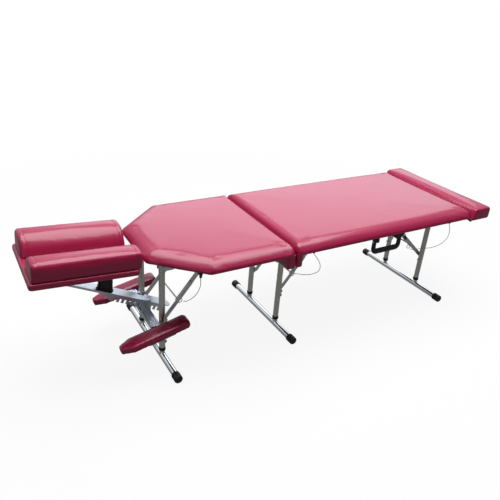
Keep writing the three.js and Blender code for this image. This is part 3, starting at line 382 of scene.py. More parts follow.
BOARD = plastic("painted_board", (0.020, 0.018, 0.018), (0.09, 0.075, 0.06), (0.55, 0.8), 260)
for cord in cords.values():
    cord.data.materials.append(CABLE)
print("finishes", [finish.name for finish in bpy.data.materials])

# %% [markdown]
# ## Ways to make a form
#
# Most pieces are one of four forms: a turned form such as a cap, a swept form such as a
# ring, a plate with a rounded outline, or a padded form that swells over its board. Each
# helper gives points and faces in millimetres. An outline has arcs at its corners, and where
# a side is longer than a given step, points are added along it.


# %% Forms
FEW_POINTS, NO_POINTS = 400.0, 4000.0


def skin(rings, closed=False):
    count = len(rings[0])
    points = [Vector(p) for ring in rings for p in ring]
    faces = []
    for r in range(len(rings) if closed else len(rings) - 1):
        a, b = r * count, (r + 1) % len(rings) * count
        faces += [(a + i, a + (i + 1) % count, b + (i + 1) % count, b + i)
                  for i in range(count)]
    if not closed:
        faces.append(tuple(reversed(range(count))))
        faces.append(tuple(len(points) - count + i for i in range(count)))
    return points, faces


def turned(profile, segments, closed=False):
    rings = [[(r * math.cos(a), r * math.sin(a), h)
              for a in (math.tau * i / segments for i in range(segments))]
             for r, h in profile]
    return skin(rings, closed)


def along(start, end):
    a, b = Vector(start), Vector(end)
    return Matrix.Translation(a) @ (b - a).to_track_quat("Z", "Y").to_matrix().to_4x4()


def swept_ring(path, radius, segments):
    rings = []
    side = None
    for i, p in enumerate(path):
        way = (path[(i + 1) % len(path)] - path[i - 1]).normalized()
        side = side - way * side.dot(way) if side else way.orthogonal()
        side = side.normalized()
        third = way.cross(side)
        rings.append([p + side * (radius * math.cos(a)) + third * (radius * math.sin(a))
                      for a in (math.tau * k / segments for k in range(segments))])
    return skin(rings, True)


def outline(corners, radius, inset, steps, every):
    arcs = []
    for i, corner in enumerate(corners):
        here, before = Vector(corner), Vector(corners[i - 1])
        after = Vector(corners[(i + 1) % len(corners)])
        arriving, leaving = (here - before).normalized(), (after - here).normalized()
        bend = math.atan2(arriving.cross(leaving), arriving.dot(leaving))
        round_to = max(radius - inset, radius / 8)
        reach = (inset + round_to) / math.cos(bend / 2)
        middle = here + (leaving - arriving).normalized() * reach
        start = math.atan2(-arriving.x, arriving.y)
        arcs.append([middle + Vector((math.cos(start + bend * k / steps),
                                      math.sin(start + bend * k / steps))) * round_to
                     for k in range(steps + 1)])
    points = []
    for i, arc in enumerate(arcs):
        points += arc
        gap = (Vector(corners[(i + 1) % len(corners)]) - Vector(corners[i])).length
        extra = int(gap / every)
        begin, end = arc[-1], arcs[(i + 1) % len(arcs)][0]
        points += [begin.lerp(end, (k + 1) / (extra + 1)) for k in range(extra)]
    return points


def plate(corners, radius, low, high, edge, steps):
    levels = [(edge, low), (0, low + edge), (0, high - edge), (edge, high)]
    return skin([[(p.x, p.y, z) for p in outline(corners, radius, inset, steps, FEW_POINTS)]
                 for inset, z in levels])


def box_corners(x0, x1, y0, y1):
    return [(x0, y0), (x1, y0), (x1, y1), (x0, y1)]


print("forms ready")

# %% [markdown]
# A piece gathers such shells and is placed once, in its mesh, so that its object stays at
# the origin. Its normals are turned outwards, its sharp edges are marked, and it is told
# which body it rides on. The imported solids it stands for are hidden.


# %% A piece of the table
def outward(mesh, merge=False):
    shell = bmesh.new()
    shell.from_mesh(mesh)
    if merge:
        bmesh.ops.remove_doubles(shell, verts=shell.verts, dist=SAME_PLACE)
    bmesh.ops.recalc_face_normals(shell, faces=shell.faces)
    shell.to_mesh(mesh)
    shell.free()
    return mesh


def shaded(mesh, sharp=35):
    mesh.shade_smooth()
    mesh.set_sharp_from_angle(angle=math.radians(sharp))
    return mesh


def read_back(made):
    return bpy.data.meshes.new_from_object(
        made.evaluated_get(bpy.context.evaluated_depsgraph_get()))


class Piece:
    def __init__(self, name):
        self.name, self.points, self.faces = name, [], []

    def add(self, form, place=None):
        points, faces = form
        first = len(self.points)
        self.points += [place @ Vector(p) if place else Vector(p) for p in points]
        self.faces += [[first + i for i in face] for face in faces]
        return self

    def mesh(self, merge=False):
        mesh = bpy.data.meshes.new(self.name)
        mesh.from_pydata([spot(*p) for p in self.points], [], self.faces)
        return outward(mesh, merge)

    def make(self, finish, body, slot, replaces=(), sharp=32, fill=None):
        mesh = shaded(self.mesh(merge=True), sharp)
        mesh.materials.append(finish)
        made = placed(self.name, mesh)
        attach(made, body)
        if replaces:
            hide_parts(*replaces)
        return made


print("pieces can be made")

# %% [markdown]
# ## Foam under tension
#
# Foam pushes the vinyl outwards and the staples hold it back. A cloth simulation gives that
# look: the cushion is remeshed evenly, a light pressure swells it for twenty steps, and its
# underside is held where it rests on the board. Then the way that each point has moved is
# capped, so that the cushion keeps its size, and a point that would press on a neighbour is
# kept at the gap. Where a seam crosses a cushion, the surface is drawn in a little. The
# capped shape becomes the plain mesh of the cushion.

# %% Swell a cushion
SWELL_STEPS, VINYL_STIFFNESS = 20, 40
SEAM_DEPTH, SEAM_WIDTH = 1.1, 2.6


def swell(made, low, cap, limits, voxel=6.0, pressure=0.9, place=None, seams=()):
    grid = made.modifiers.new("grid", "REMESH")
    grid.mode, grid.voxel_size, grid.use_smooth_shade = "VOXEL", voxel * MM, True
    even = read_back(made)
    made.modifiers.clear()
    made.data = even
    to_piece = (place or Matrix.Identity(4)).inverted()
    local = [to_piece @ (point.co / MM + Vector((FOLD_TO_MIDDLE, 0, 0)))
             for point in even.vertices]
    held = made.vertex_groups.new(name="held")
    held.add([i for i, p in enumerate(local) if p.z < low + 2], 1.0, "REPLACE")
    cloth = made.modifiers.new("cloth", "CLOTH")
    cloth.settings.vertex_group_mass = "held"
    cloth.settings.use_pressure = True
    cloth.settings.uniform_pressure_force = pressure
    cloth.settings.effector_weights.gravity = 0
    cloth.settings.tension_stiffness = VINYL_STIFFNESS
    cloth.settings.compression_stiffness = VINYL_STIFFNESS
    for step in range(1, SWELL_STEPS + 1):
        scene.frame_set(step)
    swollen = read_back(made)
    made.modifiers.clear()
    made.vertex_groups.clear()
    scene.frame_set(1)
    back = place or Matrix.Identity(4)
    most = 0
    for point, moved, start in zip(even.vertices, swollen.vertices, local):
        shift = to_piece @ (moved.co / MM + Vector((FOLD_TO_MIDDLE, 0, 0))) - start
        most = max(most, shift.length)
        if shift.length > 0:
            shift *= cap * math.tanh(shift.length / cap) / shift.length
        end = start + shift
        pull = sum(math.exp(-((start.x - x) / SEAM_WIDTH) ** 2) for x in seams)
        if pull > 0.01 and start.z > low + 4:
            end += to_piece.to_3x3() @ moved.normal * (-SEAM_DEPTH * pull)
        end = Vector(min(max(end[i], limits[i][0]), limits[i][1]) for i in range(3))
        point.co = spot(*(back @ end))
    even.update()
    even.shade_smooth()
    even.materials.clear()
    even.materials.append(VINYL)
    finer = made.modifiers.new("finer", "SUBSURF")
    finer.levels = finer.render_levels = 1
    print(made.name, len(even.polygons), "faces, pushed up to", round(most, 1), "mm")
    return made


print("swelling", "on")

# %% [markdown]
# ## The padded sections
#
# A section of the table is a board with firm foam on it, and vinyl pulled over the foam and
# stapled under the board. The foam gives a soft rolled edge and a low crown. At each corner
# the spare vinyl is gathered, so short pleats run up from the bottom edge. The skin is made
# of rings that follow the outline: they climb the side, turn over the edge and close in on
# the middle of the top. Towards the fold and the foot piece the vinyl is pulled tighter, so
# the roll is narrower at those ends.

# %% Padded form
PAD_LOW, PAD_HIGH, PAD_CROWN = 419.0, 461.0, 4
PAD_CORNER, PAD_ROLL, PAD_REACH = 20, 28, 46
TUCK, PLEAT = 3.0, 0.8
FIRM, FIRM_SPREAD = 0.6, 70.0
ARC_STEPS, RUN_STEP = 10, 28.0


def centre_of(corners):
    return sum((Vector(corner) for corner in corners), Vector((0, 0))) / len(corners)


def corner_phases(corners):
    phases = []
    for i, corner in enumerate(corners):
        phases += [k / ARC_STEPS for k in range(ARC_STEPS + 1)]
        gap = (Vector(corners[(i + 1) % len(corners)]) - Vector(corner)).length
        phases += [None] * int(gap / RUN_STEP)
    return phases


def side_levels(edge):
    levels = [(TUCK + 14, PAD_LOW), (TUCK + 3, PAD_LOW), (TUCK, PAD_LOW + 0.6)]
    wall = edge - PAD_ROLL - PAD_LOW
    for k in range(1, 9):
        share = k / 8
        levels.append((TUCK * (1 - min(share / 0.35, 1)) ** 2, PAD_LOW + wall * share))
    for k in range(1, 15):
        share = (k / 14) ** 1.6
        levels.append((PAD_REACH * share, edge - PAD_ROLL * (1 - share) ** 2.8))
    return levels


def top_rings(last):
    centre = sum(last, Vector()) / len(last)
    rings = []
    for k in range(1, 22):
        share = (k / 21) ** 1.35 * 0.985
        rise = PAD_CROWN * (1 - (1 - share) ** 2)
        ring = []
        for p in last:
            q = p.lerp(centre, share)
            wave = noise.noise(Vector((q.x, q.y, 0)) / 90.0) * 0.45 * min(1, share * 6)
            ring.append(Vector((q.x, q.y, p.z + rise + wave)))
        rings.append(ring)
    return rings


def padded_form(corners, firm_ends):
    phases = corner_phases(corners)
    edge = PAD_HIGH - PAD_CROWN
    rings = []
    for inset, z in side_levels(edge):
        ring = []
        for p, phase in zip(outline(corners, PAD_CORNER, inset, ARC_STEPS, RUN_STEP), phases):
            out = 0.0
            if phase is not None and z < edge - PAD_ROLL / 2:
                fade = math.exp(-((z - PAD_LOW) / 14.0) ** 2)
                out = PLEAT * fade * math.cos(phase * math.tau * 3)
            middle = Vector((p.x, p.y)) - centre_of(corners)
            away = middle.normalized() * out if middle.length else Vector((0, 0))
            x = p.x + away.x
            for end, outwards in firm_ends if z > edge - PAD_ROLL else ():
                far = abs(p.x - end) - inset
                x += outwards * inset * FIRM * math.exp(-(far / FIRM_SPREAD) ** 2)
            ring.append(Vector((x, p.y + away.y, z)))
        rings.append(ring)
    return skin(rings + top_rings(rings[-1]))


print("side rings", len(side_levels(PAD_HIGH - PAD_CROWN)))

# %% [markdown]
# The front section narrows to a nose at the head end, and the rear section is a plain
# rectangle. A gap of six millimetres between them lets the fold open and close.

# %% Front and rear pads
HALF_WIDTH, FOLD_GAP, PAD_END = 279.5, 3, 902
FRONT_OUTLINE = [(-500, -125), (-335, -HALF_WIDTH), (-FOLD_GAP, -HALF_WIDTH),
                 (-FOLD_GAP, HALF_WIDTH), (-335, HALF_WIDTH), (-500, 125)]
REAR_OUTLINE = box_corners(FOLD_GAP, PAD_END, -HALF_WIDTH, HALF_WIDTH)
SECTIONS = (("front_section", FRONT_OUTLINE), ("rear_section", REAR_OUTLINE))
SWELL_WIDE, SWELL_HIGH = (-282, 282), (PAD_LOW, 463.5)
front_pad = Piece("front_cushion").add(padded_form(FRONT_OUTLINE, [(-FOLD_GAP, 1)])).make(
    VINYL, "front_section", "vinyl", ["front_pad"], sharp=70, fill=0.9)
rear_pad = Piece("rear_cushion").add(
    padded_form(REAR_OUTLINE, [(FOLD_GAP, -1), (PAD_END, 1)])).make(
    VINYL, "rear_section", "vinyl", ["rear_pad"], sharp=70, fill=0.9)
swell(front_pad, PAD_LOW, 2.4, ((-502, -0.8), SWELL_WIDE, SWELL_HIGH))
swell(rear_pad, PAD_LOW, 2.4, ((0.8, 903.5), SWELL_WIDE, SWELL_HIGH), 6.9)
print("front pad", len(front_pad.data.polygons), "rear pad", len(rear_pad.data.polygons))

# %% [markdown]
# The drop-down foot piece is thicker and firmer, with a slanted face towards the hinge so
# that it clears the main pad as it swings. The hinge side of its rings steps back with
# height, which gives that slant.

# %% Foot piece
FOOT_START, FOOT_END, FOOT_LOW = 910.0, 1022.0, 405.3
FOOT_LEAN, FOOT_ROLL, FOOT_ROLL_DEPTH = 15, 15, 12


def foot_form():
    levels = [(18, FOOT_LOW, 0), (1.5, FOOT_LOW, 0)]
    top = PAD_HIGH - 2.5
    rise = top - FOOT_ROLL_DEPTH - FOOT_LOW
    levels += [(max(0, 1.5 - 6 * k / 8), FOOT_LOW + rise * k / 8, FOOT_LEAN * k / 8)
               for k in range(1, 9)]
    for k in range(1, 13):
        angle = math.pi / 2 * k / 12
        levels.append((FOOT_ROLL * (1 - math.cos(angle)),
                       top - FOOT_ROLL_DEPTH * (1 - math.sin(angle)), FOOT_LEAN))
    rings = []
    for inset, z, lean in levels:
        corners = box_corners(FOOT_START + lean, FOOT_END, -HALF_WIDTH, HALF_WIDTH)
        rings.append([Vector((p.x, p.y, z))
                      for p in outline(corners, 12, inset, ARC_STEPS, 40.0)])
    last = rings[-1]
    middle_x = (FOOT_START + FOOT_LEAN + FOOT_END) / 2
    for k in range(1, 12):
        share = k / 11 * 0.96
        rings.append([Vector((p.x + (middle_x - p.x) * share, p.y * (1 - share * 0.11),
                              p.z + 2.5 * (1 - (1 - share) ** 2))) for p in last])
    return skin(rings)


foot_cushion = Piece("foot_cushion").add(foot_form()).make(
    VINYL, "foot_piece", "vinyl", ["foot_pad"], sharp=70, fill=0.95)
swell(foot_cushion, FOOT_LOW, 1.6, ((909.5, 1023.5), (-281.5, 281.5), (FOOT_LOW, 462.5)), 5.0)
print("foot piece", len(foot_cushion.data.polygons))

# %% [markdown]
# The foot piece swings on a long rod with a black knob at each end. Two steel knuckles join
# it to the rod. The rod and its knobs are one turned form with the same steps on both ends.

# %% Foot hinge
ROD_X, ROD_Z = 903.4, 412.0
KNUCKLE_RADIUS, KNUCKLE_HALF = 6.6, 25
KNUCKLE = [(4.3, 0), (KNUCKLE_RADIUS, 0), (KNUCKLE_RADIUS, 2 * KNUCKLE_HALF),
           (4.3, 2 * KNUCKLE_HALF)]
ROD_END = [(4, 270.2), (5.4, 270.5), (6, 271.5), (6, 277), (5.6, 279), (3.5, 280.2), (0, 280.5)]
knuckles = Piece("foot_hinge_knuckles")
for y in (-180, 180):
    low, high = y - KNUCKLE_HALF, y + KNUCKLE_HALF
    knuckles.add(turned(KNUCKLE, 40, True), along((ROD_X, low, ROD_Z), (ROD_X, high, ROD_Z)))
    knuckles.add(plate(box_corners(ROD_X + 5, FOOT_START + 8, low, high), 1,
                       ROD_Z - KNUCKLE_RADIUS, ROD_Z - 4.2, 0.5, 2))
knuckles.make(ZINC, "foot_piece", "zinc_steel")
rod = Piece("foot_hinge_axle")
rod.add(turned([(r, -h) for r, h in reversed(ROD_END)] + ROD_END, 32),
        along((ROD_X, 0, ROD_Z), (ROD_X, 1, ROD_Z)))
rod.make(BLACK, "rear_section", "black_plastic", ["foot_hinge_rod"])
print("foot hinge made")

# %% [markdown]
# ## Boards and end rails
#
# Under each pad lies a thin painted board, set in from the edge so that it doesn't show. At
# the fold each section has a deep end rail, covered in the same vinyl. The rails stand face
# to face and carry the hinge along their bottom edges. A thin vinyl hem runs round the edge
# of each board, where the cover is stapled down.

# %% Boards and end rails
DECK_LOW, DECK_INSET, RAIL_LOW, RAIL_HALF = 410.0, 24, 373.0, 276.5
FRONT_RAIL, REAR_RAIL = (-36, -FOLD_GAP), (FOLD_GAP, 28)
HEM_PROFILE = [(23.4, 419.2), (23.4, 409.76), (46, 409.76), (46, 409.96), (23.9, 409.96),
               (23.9, 419.2)]


def deck_outline(corners):
    return [(p.x, p.y) for p in outline(corners, PAD_CORNER, DECK_INSET, 4, NO_POINTS)]


def end_rail(x0, x1):
    corners = box_corners(x0, x1, -RAIL_HALF, RAIL_HALF)
    levels = [(5.5, RAIL_LOW), (2.4, RAIL_LOW + 0.5), (0.7, RAIL_LOW + 2.2), (0, RAIL_LOW + 5),
              (0, 402), (0.3, 412), (0.8, PAD_LOW + 6)]
    return skin([[Vector((p.x, p.y, z)) for p in outline(corners, 7, inset, 6, 24.0)]
                 for inset, z in levels])


def board_and_hem(word, section, corners):
    board = plate(deck_outline(corners), 3, DECK_LOW, PAD_LOW - 0.3, 1.0, 2)
    Piece(word + "_board").add(board).make(BOARD, section, "deck_board", [word + "_frame"])
    hem = [[Vector((p.x, p.y, z)) for p in outline(corners, PAD_CORNER, inset, 4, FEW_POINTS)]
           for inset, z in HEM_PROFILE]
    Piece(section + "_vinyl_hem").add(skin(hem, True)).make(VINYL, section, "vinyl")


for word, (section, corners), ends in (("front", SECTIONS[0], FRONT_RAIL),
                                       ("rear", SECTIONS[1], REAR_RAIL)):
    board_and_hem(word, section, corners)
    Piece(word + "_end_rail").add(end_rail(*ends)).make(VINYL, section, "vinyl", sharp=70,
                                                        fill=1.0)
print("boards and rails made")

# %% [markdown]
# A pull cord ends in a black clip at the edge of the deck. The clip is a small block with a
# turned mouth for the cable, and one piece holds all the clips of a section.


# %% Cable clips
def cord_clip(piece, name):
    x, y, z = CORD_ROUTES[name][-1]
    piece.add(plate(box_corners(x - 6, x + 6, y - 5, y * 0.85), 2.5, 412, 418.5, 0.8, 4))
    piece.add(turned([(0, 0), (3.4, 0), (4.6, 1.2), (5, 3), (5, 12)], 24),
              Matrix.Translation((x, y, z + CORD_RADIUS)))


for section, corners in SECTIONS:
    clip = Piece(section + "_cable_clips")
    for name in CORD_ROUTES:
        if SECTION_OF[name] == section:
            cord_clip(clip, name)
    clip.make(BLACK, section, "black_plastic")
print("cable clips made")

# %% [markdown]
# ## The head piece
#
# The head piece is built in its own frame, which starts at the axle under the nose of the
# front pad and leans up by three and a half degrees. The board has a padded lip. Each of
# the two cushions is a long loaf: a steep outer wall, a flat top, and a slope down to the
# channel where the face rests. The loaf is lofted from one cross-section, and its ends are
# rolled in.

# %% Head board and cushions
HEAD = Matrix.Translation((-511, 0, 391)) @ Matrix.Rotation(math.radians(3.5), 4, "Y")
BOARD_TOP, CUSHION_LOW = 23.0, 23.3
CUSHION_LENGTH, CUSHION_WIDTH, CUSHION_HEIGHT = 340.0, 122, 61
CUSHION_EDGE, CUSHION_START, CUSHION_BOW, CUSHION_ROLL = 146.5, -5, 1.2, 13.0
SEAM_PLANES = (-25.0, -325.0)
LOAF = [(0.02, 0), (0, 0.3), (0.004, 0.7), (0.02, 0.84), (0.06, 0.93), (0.13, 0.975),
        (0.25, 0.995), (0.39, 1), (0.52, 0.97), (0.64, 0.89), (0.75, 0.75), (0.85, 0.53),
        (0.94, 0.25), (1, 0)]


def loaf(side):
    length, roll = CUSHION_LENGTH, CUSHION_ROLL
    shape = [(CUSHION_EDGE - CUSHION_WIDTH * across, CUSHION_HEIGHT * up)
             for across, up in smooth_line(LOAF, 5)]
    middle = sum(y for y, z in shape) / len(shape)
    wide = max(abs(y - middle) for y, z in shape)
    ends = [(0.5, roll * 1.9), (0.15, roll * 1.3)]
    ends += [(roll * (1 - math.cos(a)), roll * (1 - math.sin(a)))
             for a in (math.pi / 2 * k / 9 for k in range(10))]
    stations = [(x, s) for x, s in ends] + [(roll + 5, 0), (roll + 7, 0.9), (roll + 9, 0)]
    body = [(roll + 9 + (length / 2 - roll - 9) * k / 14, 0) for k in range(1, 15)]
    half = stations + body
    whole = half + [(length - x, s) for x, s in reversed(half[:-1])]
    rings = []
    for x, shrink in whole:
        share = shrink / wide
        bow = CUSHION_BOW * math.sin(math.pi * x / length)
        rings.append([Vector((CUSHION_START - x, side * (y + (middle - y) * share),
                              CUSHION_LOW + z * (1 - share) + bow * z / CUSHION_HEIGHT))
                      for y, z in shape])
    return skin(rings)


def upholstered(corners, radius, low, high, roll):
    levels = [(12, low), (3, low), (0.8, low + 1.5), (0, low + 5)]
    levels += [(0, low + (high - low) * share) for share in (0.4, 0.6)]
    levels += [(roll * (1 - math.cos(a)), high - roll * (1 - math.sin(a)))
               for a in (math.pi / 2 * k / 6 for k in range(7))]
    levels += [(roll + 12, high + 0.2)]
    return skin([[Vector((p.x, p.y, z)) for p in outline(corners, radius, inset, 6, 24.0)]
                 for inset, z in levels])


Piece("head_board_cover").add(
    upholstered(box_corners(-354, -13, -150.5, 150.5), 12, 3, BOARD_TOP, 6), HEAD).make(
    VINYL, "head", "vinyl", ["head_board"], sharp=70, fill=0.95)
head_cushions = {}
for side, word in SIDES:
    made = Piece(f"head_cushion_{word}").add(loaf(side), HEAD).make(
        VINYL, "head", "vinyl", [f"head_pad_{word}"], sharp=70, fill=0.85)
    across = sorted((side * 24.2, side * 148))
    limits = ((-346.5, -3.5), across, (CUSHION_LOW, 87))
    head_cushions[side] = swell(made, CUSHION_LOW, 1.5, limits, 4.0, place=HEAD,
                                seams=SEAM_PLANES)
print("head cushions made")

# %% [markdown]
# A black moulded post joins the board to the slanted rail under it. Its foot is cut to the
# slope of the rail, so each point of its lowest rings is set to the rail's height there. Two
# lugs behind it turn on the axle under the nose of the front pad.

# %% Post and neck lugs
RAIL_REACH, RAIL_DROP, RAIL_ANGLE = 160.0, -221.0, math.radians(23.1)
POST_X = RAIL_REACH - 265 * math.cos(RAIL_ANGLE)
FLANGE_LOW, FLANGE_HIGH, LUG_Y = -0.3, 2.7, 46.6
LUG_SHAPE = [(-60, 1), (-20, -7.5), (2, -8), (8, -2), (8, 5), (4, 8), (-4, 5), (-13, 1)]


def on_rail(x):
    return RAIL_DROP + (RAIL_REACH - x) * math.tan(RAIL_ANGLE)


def post_form():
    corners = box_corners(POST_X - 25, POST_X + 25, -17, 17)
    rings = []
    for inset, up in ((-1.5, 0.4), (-2.2, 2.0), (-2.2, 7.0), (-0.6, 9.5), (0, 12), (0, None),
                      (2.5, None)):
        ring = outline(corners, 15, inset, 8, FEW_POINTS)
        level = -0.4 if inset == 2.5 else -2.4
        rings.append([Vector((p.x, p.y, FLANGE_HIGH + level if up is None
                              else on_rail(p.x) + up)) for p in ring])
    return skin(rings)


Piece("head_post_moulding").add(post_form(), HEAD).make(
    BLACK, "head", "black_plastic", ["head_post"], sharp=40)
neck = Piece("neck_lugs")
neck.add(plate(box_corners(POST_X - 50, -13, -55, 55), 6, FLANGE_LOW, FLANGE_HIGH, 0.5, 4),
         HEAD)
for y in (-LUG_Y, LUG_Y):
    neck.add(plate(LUG_SHAPE, 2, y - 2, y + 2, 0.5, 4), HEAD @ UPRIGHT)
neck.make(ZINC, "head", "zinc_steel")
print("post at", round(POST_X, 1))

# %% [markdown]
# ## Arm rests
#
# Two padded bars stand beside the table on a cross arm that hooks into the toothed rail.
# Each bar is a long plate with tapered ends. Its vinyl is drawn tight, so the top has a
# soft ridge and the edges are small and firm.

# %% Arm rests
RAIL = (HEAD @ Matrix.Translation((RAIL_REACH, 0, RAIL_DROP))
        @ Matrix.Rotation(RAIL_ANGLE, 4, "Y"))
ARM_TILT, REST_TILT = math.radians(26.6), math.radians(-12.6)
ARM_DROP = (28 + 2.6 + 17 * math.sin(ARM_TILT) + 8 * math.cos(ARM_TILT)) / math.cos(ARM_TILT)
ARM = RAIL @ Matrix.Translation((-114, 0, 0)) @ Matrix.Rotation(-ARM_TILT, 4, "Y")
REST = ARM @ Matrix.Translation((0, 0, -ARM_DROP)) @ Matrix.Rotation(REST_TILT, 4, "Y")
REST_LENGTH, REST_WIDTH, REST_X, REST_Y = 252, 60, -18, 163.5
REST_LOW, REST_HIGH, REST_ROLL = -12.0, 14.0, 4.5
REST_SHAPE = [(-0.5, -0.2), (-0.34, -0.5), (0.46, -0.5), (0.5, -0.36), (0.5, 0.36),
              (0.46, 0.5), (-0.34, 0.5), (-0.5, 0.2)]


def rest_form(side):
    corners = [(a * REST_LENGTH + REST_X, b * REST_WIDTH + side * REST_Y)
               for a, b in REST_SHAPE]
    low, high = REST_LOW, REST_HIGH
    levels = [(10, low), (2, low), (0.6, low + 1.2), (0, low + 4), (-0.3, 0), (0, high - 6)]
    levels += [(REST_ROLL * (1 - math.cos(a)), high - 1.2 - REST_ROLL * (1 - math.sin(a)))
               for a in (math.pi / 2 * k / 6 for k in range(1, 7))]
    rings = [[Vector((p.x, p.y, z)) for p in outline(corners, 5, inset, 5, 16.0)]
             for inset, z in levels]
    last = rings[-1]
    for share in (0.2, 0.4, 0.6, 0.8, 0.95):
        rings.append([Vector((p.x + (REST_X - p.x) * share * 0.2,
                              p.y + (side * REST_Y - p.y) * share,
                              p.z + 2.4 * (1 - (1 - share) ** 2))) for p in last])
    return skin(rings)


for side, word in SIDES:
    y = side * REST_Y
    made = Piece(f"arm_cushion_{word}").add(rest_form(side), REST).make(
        VINYL, f"rest_{word}", "vinyl", [f"armrest_{word}"], sharp=70, fill=0.95)
    swell(made, REST_LOW, 1.2, ((-145.2, 109.2), (y - 31, y + 31), (REST_LOW, 16)), 4.0,
          place=REST)
    plates = Piece(f"arm_rest_plate_{word}")
    plates.add(plate(box_corners(-52, 52, y - 26, y + 26), 6, -15.8, -11.8, 0.6, 4), REST)
    plates.add(turned([(0, 0), (8, 0), (8.6, 0.6), (8.6, 1.5), (8, 2), (0, 2)], 32),
               ARM @ along((0, side * 131.4, -ARM_DROP), (0, side * 132.4, -ARM_DROP)))
    plates.make(BLACK, f"rest_{word}", "black_plastic")
print("arm rests made")

# %% [markdown]
# ## Legs
#
# All three legs are alike: two outer tubes on an axle, an inner frame with a foot bar, and a
# folding brace between the leg and the deck. For each leg the table below gives its place,
# the way it folds, the length of its foot bar, the two ends of its brace, how far the yoke
# reaches past the bend, and the height of the sprung pin. From these it is worked out where
# the brace bends: its two links are in line when the leg stands, and their lengths differ
# just enough for them to lie flat when the leg is folded.

# %% Leg sizes
PIVOT_Z, HOLD_Z, LEG_Y = 386.0, 392, 105.0
UPPER_Y, LOWER_Y = 87.6, 91.2
LEGS = {
    "front": dict(x=-435, fold=1, span=524, pin=(14, 162), hold=199, over=76, plunger=72),
    "middle": dict(x=57.5, fold=1, span=490, pin=(14, 162), hold=199, over=76, plunger=147),
    "rear": dict(x=858, fold=-1, span=524, pin=(0, 167), hold=249, over=62, plunger=147),
}
for leg in LEGS.values():
    fold = leg["fold"]
    pin = Vector((fold * leg["pin"][0], leg["pin"][1] - PIVOT_Z))
    hold = Vector((fold * leg["hold"], HOLD_Z - PIVOT_Z))
    apart = math.hypot(hold.x + fold * pin.y, hold.y - fold * pin.x)
    spread = math.copysign(apart, -pin.y - fold * hold.x)
    reach = (hold - pin).length
    way = (hold - pin) / reach
    elbow = pin + way * (reach + spread) / 2
    base = Vector((leg["x"], PIVOT_Z))
    leg["pin_at"], leg["hold_at"], leg["elbow_at"] = base + pin, base + hold, base + elbow
    leg["rod_at"], leg["way"] = base + elbow - way * leg["over"], way
print({name: [round(v) for v in leg["elbow_at"]] for name, leg in LEGS.items()})

# %% [markdown]
# The outer tubes are drawn tube with a satin plating. A turned wall with small rounded lips
# gives each tube its thickness, and its top end is closed. Every turned form is given as a
# profile, a list of radius and height, so that its steps can be read off at once.

# %% Outer tubes and collars
TUBE = [(9.2, 51.3), (10.8, 51.3), (11.1, 51.7), (11.1, 397.5), (10.5, 398.6), (9.3, 399),
        (0, 399), (0, 397), (9.2, 397)]
BRACE_BOSS = [(0, 0), (7.6, 0), (8, 0.5), (8, 10.1), (7.5, 10.6), (0, 10.6)]
BRACE_RIVET = [(0, 0), (4, 0), (4, 14.6), (5.8, 14.7), (5.2, 15.2), (0, 15.3)]
PIN_GUIDE = [(4.2, 0), (6.8, 0), (6.8, 2.2), (6.3, 3), (4.2, 3)]
COLLAR = [(9.3, 37), (11.3, 37), (12.2, 38), (12.6, 40), (12.6, 43), (12.1, 43.6),
          (12.1, 45.4), (12.6, 46), (12.6, 49), (11.9, 50.5), (11.2, 51), (9.3, 51)]
AXLE = [(0, -120.7), (4.9, -120.7), (4.9, 120.7), (0, 120.7)]


def axle_head(radius=8.0, height=3.0):
    return turned([(0, 0), (radius, 0), (radius, height * 0.4), (radius * 0.75, height * 0.85),
                   (radius * 0.3, height), (0, height)], 28)


for name, leg in LEGS.items():
    x, fold, plunger = leg["x"], leg["fold"], leg["plunger"]
    tubes = Piece(f"{name}_outer_tubes")
    pin = leg["pin_at"]
    for side, word in SIDES:
        y = side * LEG_Y
        tubes.add(turned(TUBE, 48), Matrix.Translation((x, y, 0)))
        tubes.add(turned(BRACE_BOSS, 32),
                  along((pin.x, side * 104.5, pin.y), (pin.x, side * 90, pin.y)))
        tubes.add(turned(BRACE_RIVET, 24),
                  along((pin.x, side * 105, pin.y), (pin.x, side * 80, pin.y)))
        tubes.add(turned(PIN_GUIDE, 24, True),
                  along((x + fold * 10.4, y, plunger), (x + fold * 20, y, plunger)))
    tubes.make(NICKEL, f"{name}_leg", "satin_nickel", [f"{name}_leg_frame"], sharp=35)
    axle = Piece(f"{name}_leg_axle")
    axle.add(turned(AXLE, 24), along((x, 0, PIVOT_Z), (x, 1, PIVOT_Z)))
    for side, word in SIDES:
        axle.add(axle_head(), along((x, side * 120.2, PIVOT_Z), (x, side * 130, PIVOT_Z)))
    axle.make(ZINC, f"{name}_leg", "zinc_steel")
    for side, word in SIDES:
        sleeve = Piece(f"{name}_collar_sleeve_{word}")
        sleeve.add(turned(COLLAR, 48, True), Matrix.Translation((x, side * LEG_Y, 0)))
        sleeve.make(BLACK, f"{name}_leg", "black_plastic", [f"{name}_collar_{word}"])
print("outer tubes made")

# %% [markdown]
# The inner frame slides in the outer tubes. Its uprights have a row of holes, and a sprung
# pin in each outer tube drops into one of them. The holes are cut with a boolean, because a
# pin that is pulled out must leave a real hole to look into.

# %% Uprights with holes
CAP_RADIUS, CAP_SIDES = 15.5, 12
FOOT_Z = CAP_RADIUS * math.cos(math.pi / CAP_SIDES)
HOLES, HOLE_STEP, UPRIGHT_RISE = 7, 25, 175
HOLE_CUT = [(0, 0), (3.4, 0), (3.4, 9), (0, 9)]


def cut_by(target, cutter):
    tool = placed("cutter", cutter)
    change = target.modifiers.new("holes", "BOOLEAN")
    change.object, change.solver, change.operation = tool, "EXACT", "DIFFERENCE"
    bpy.context.view_layer.update()
    result = read_back(target)
    target.modifiers.remove(change)
    bpy.data.objects.remove(tool)
    return result


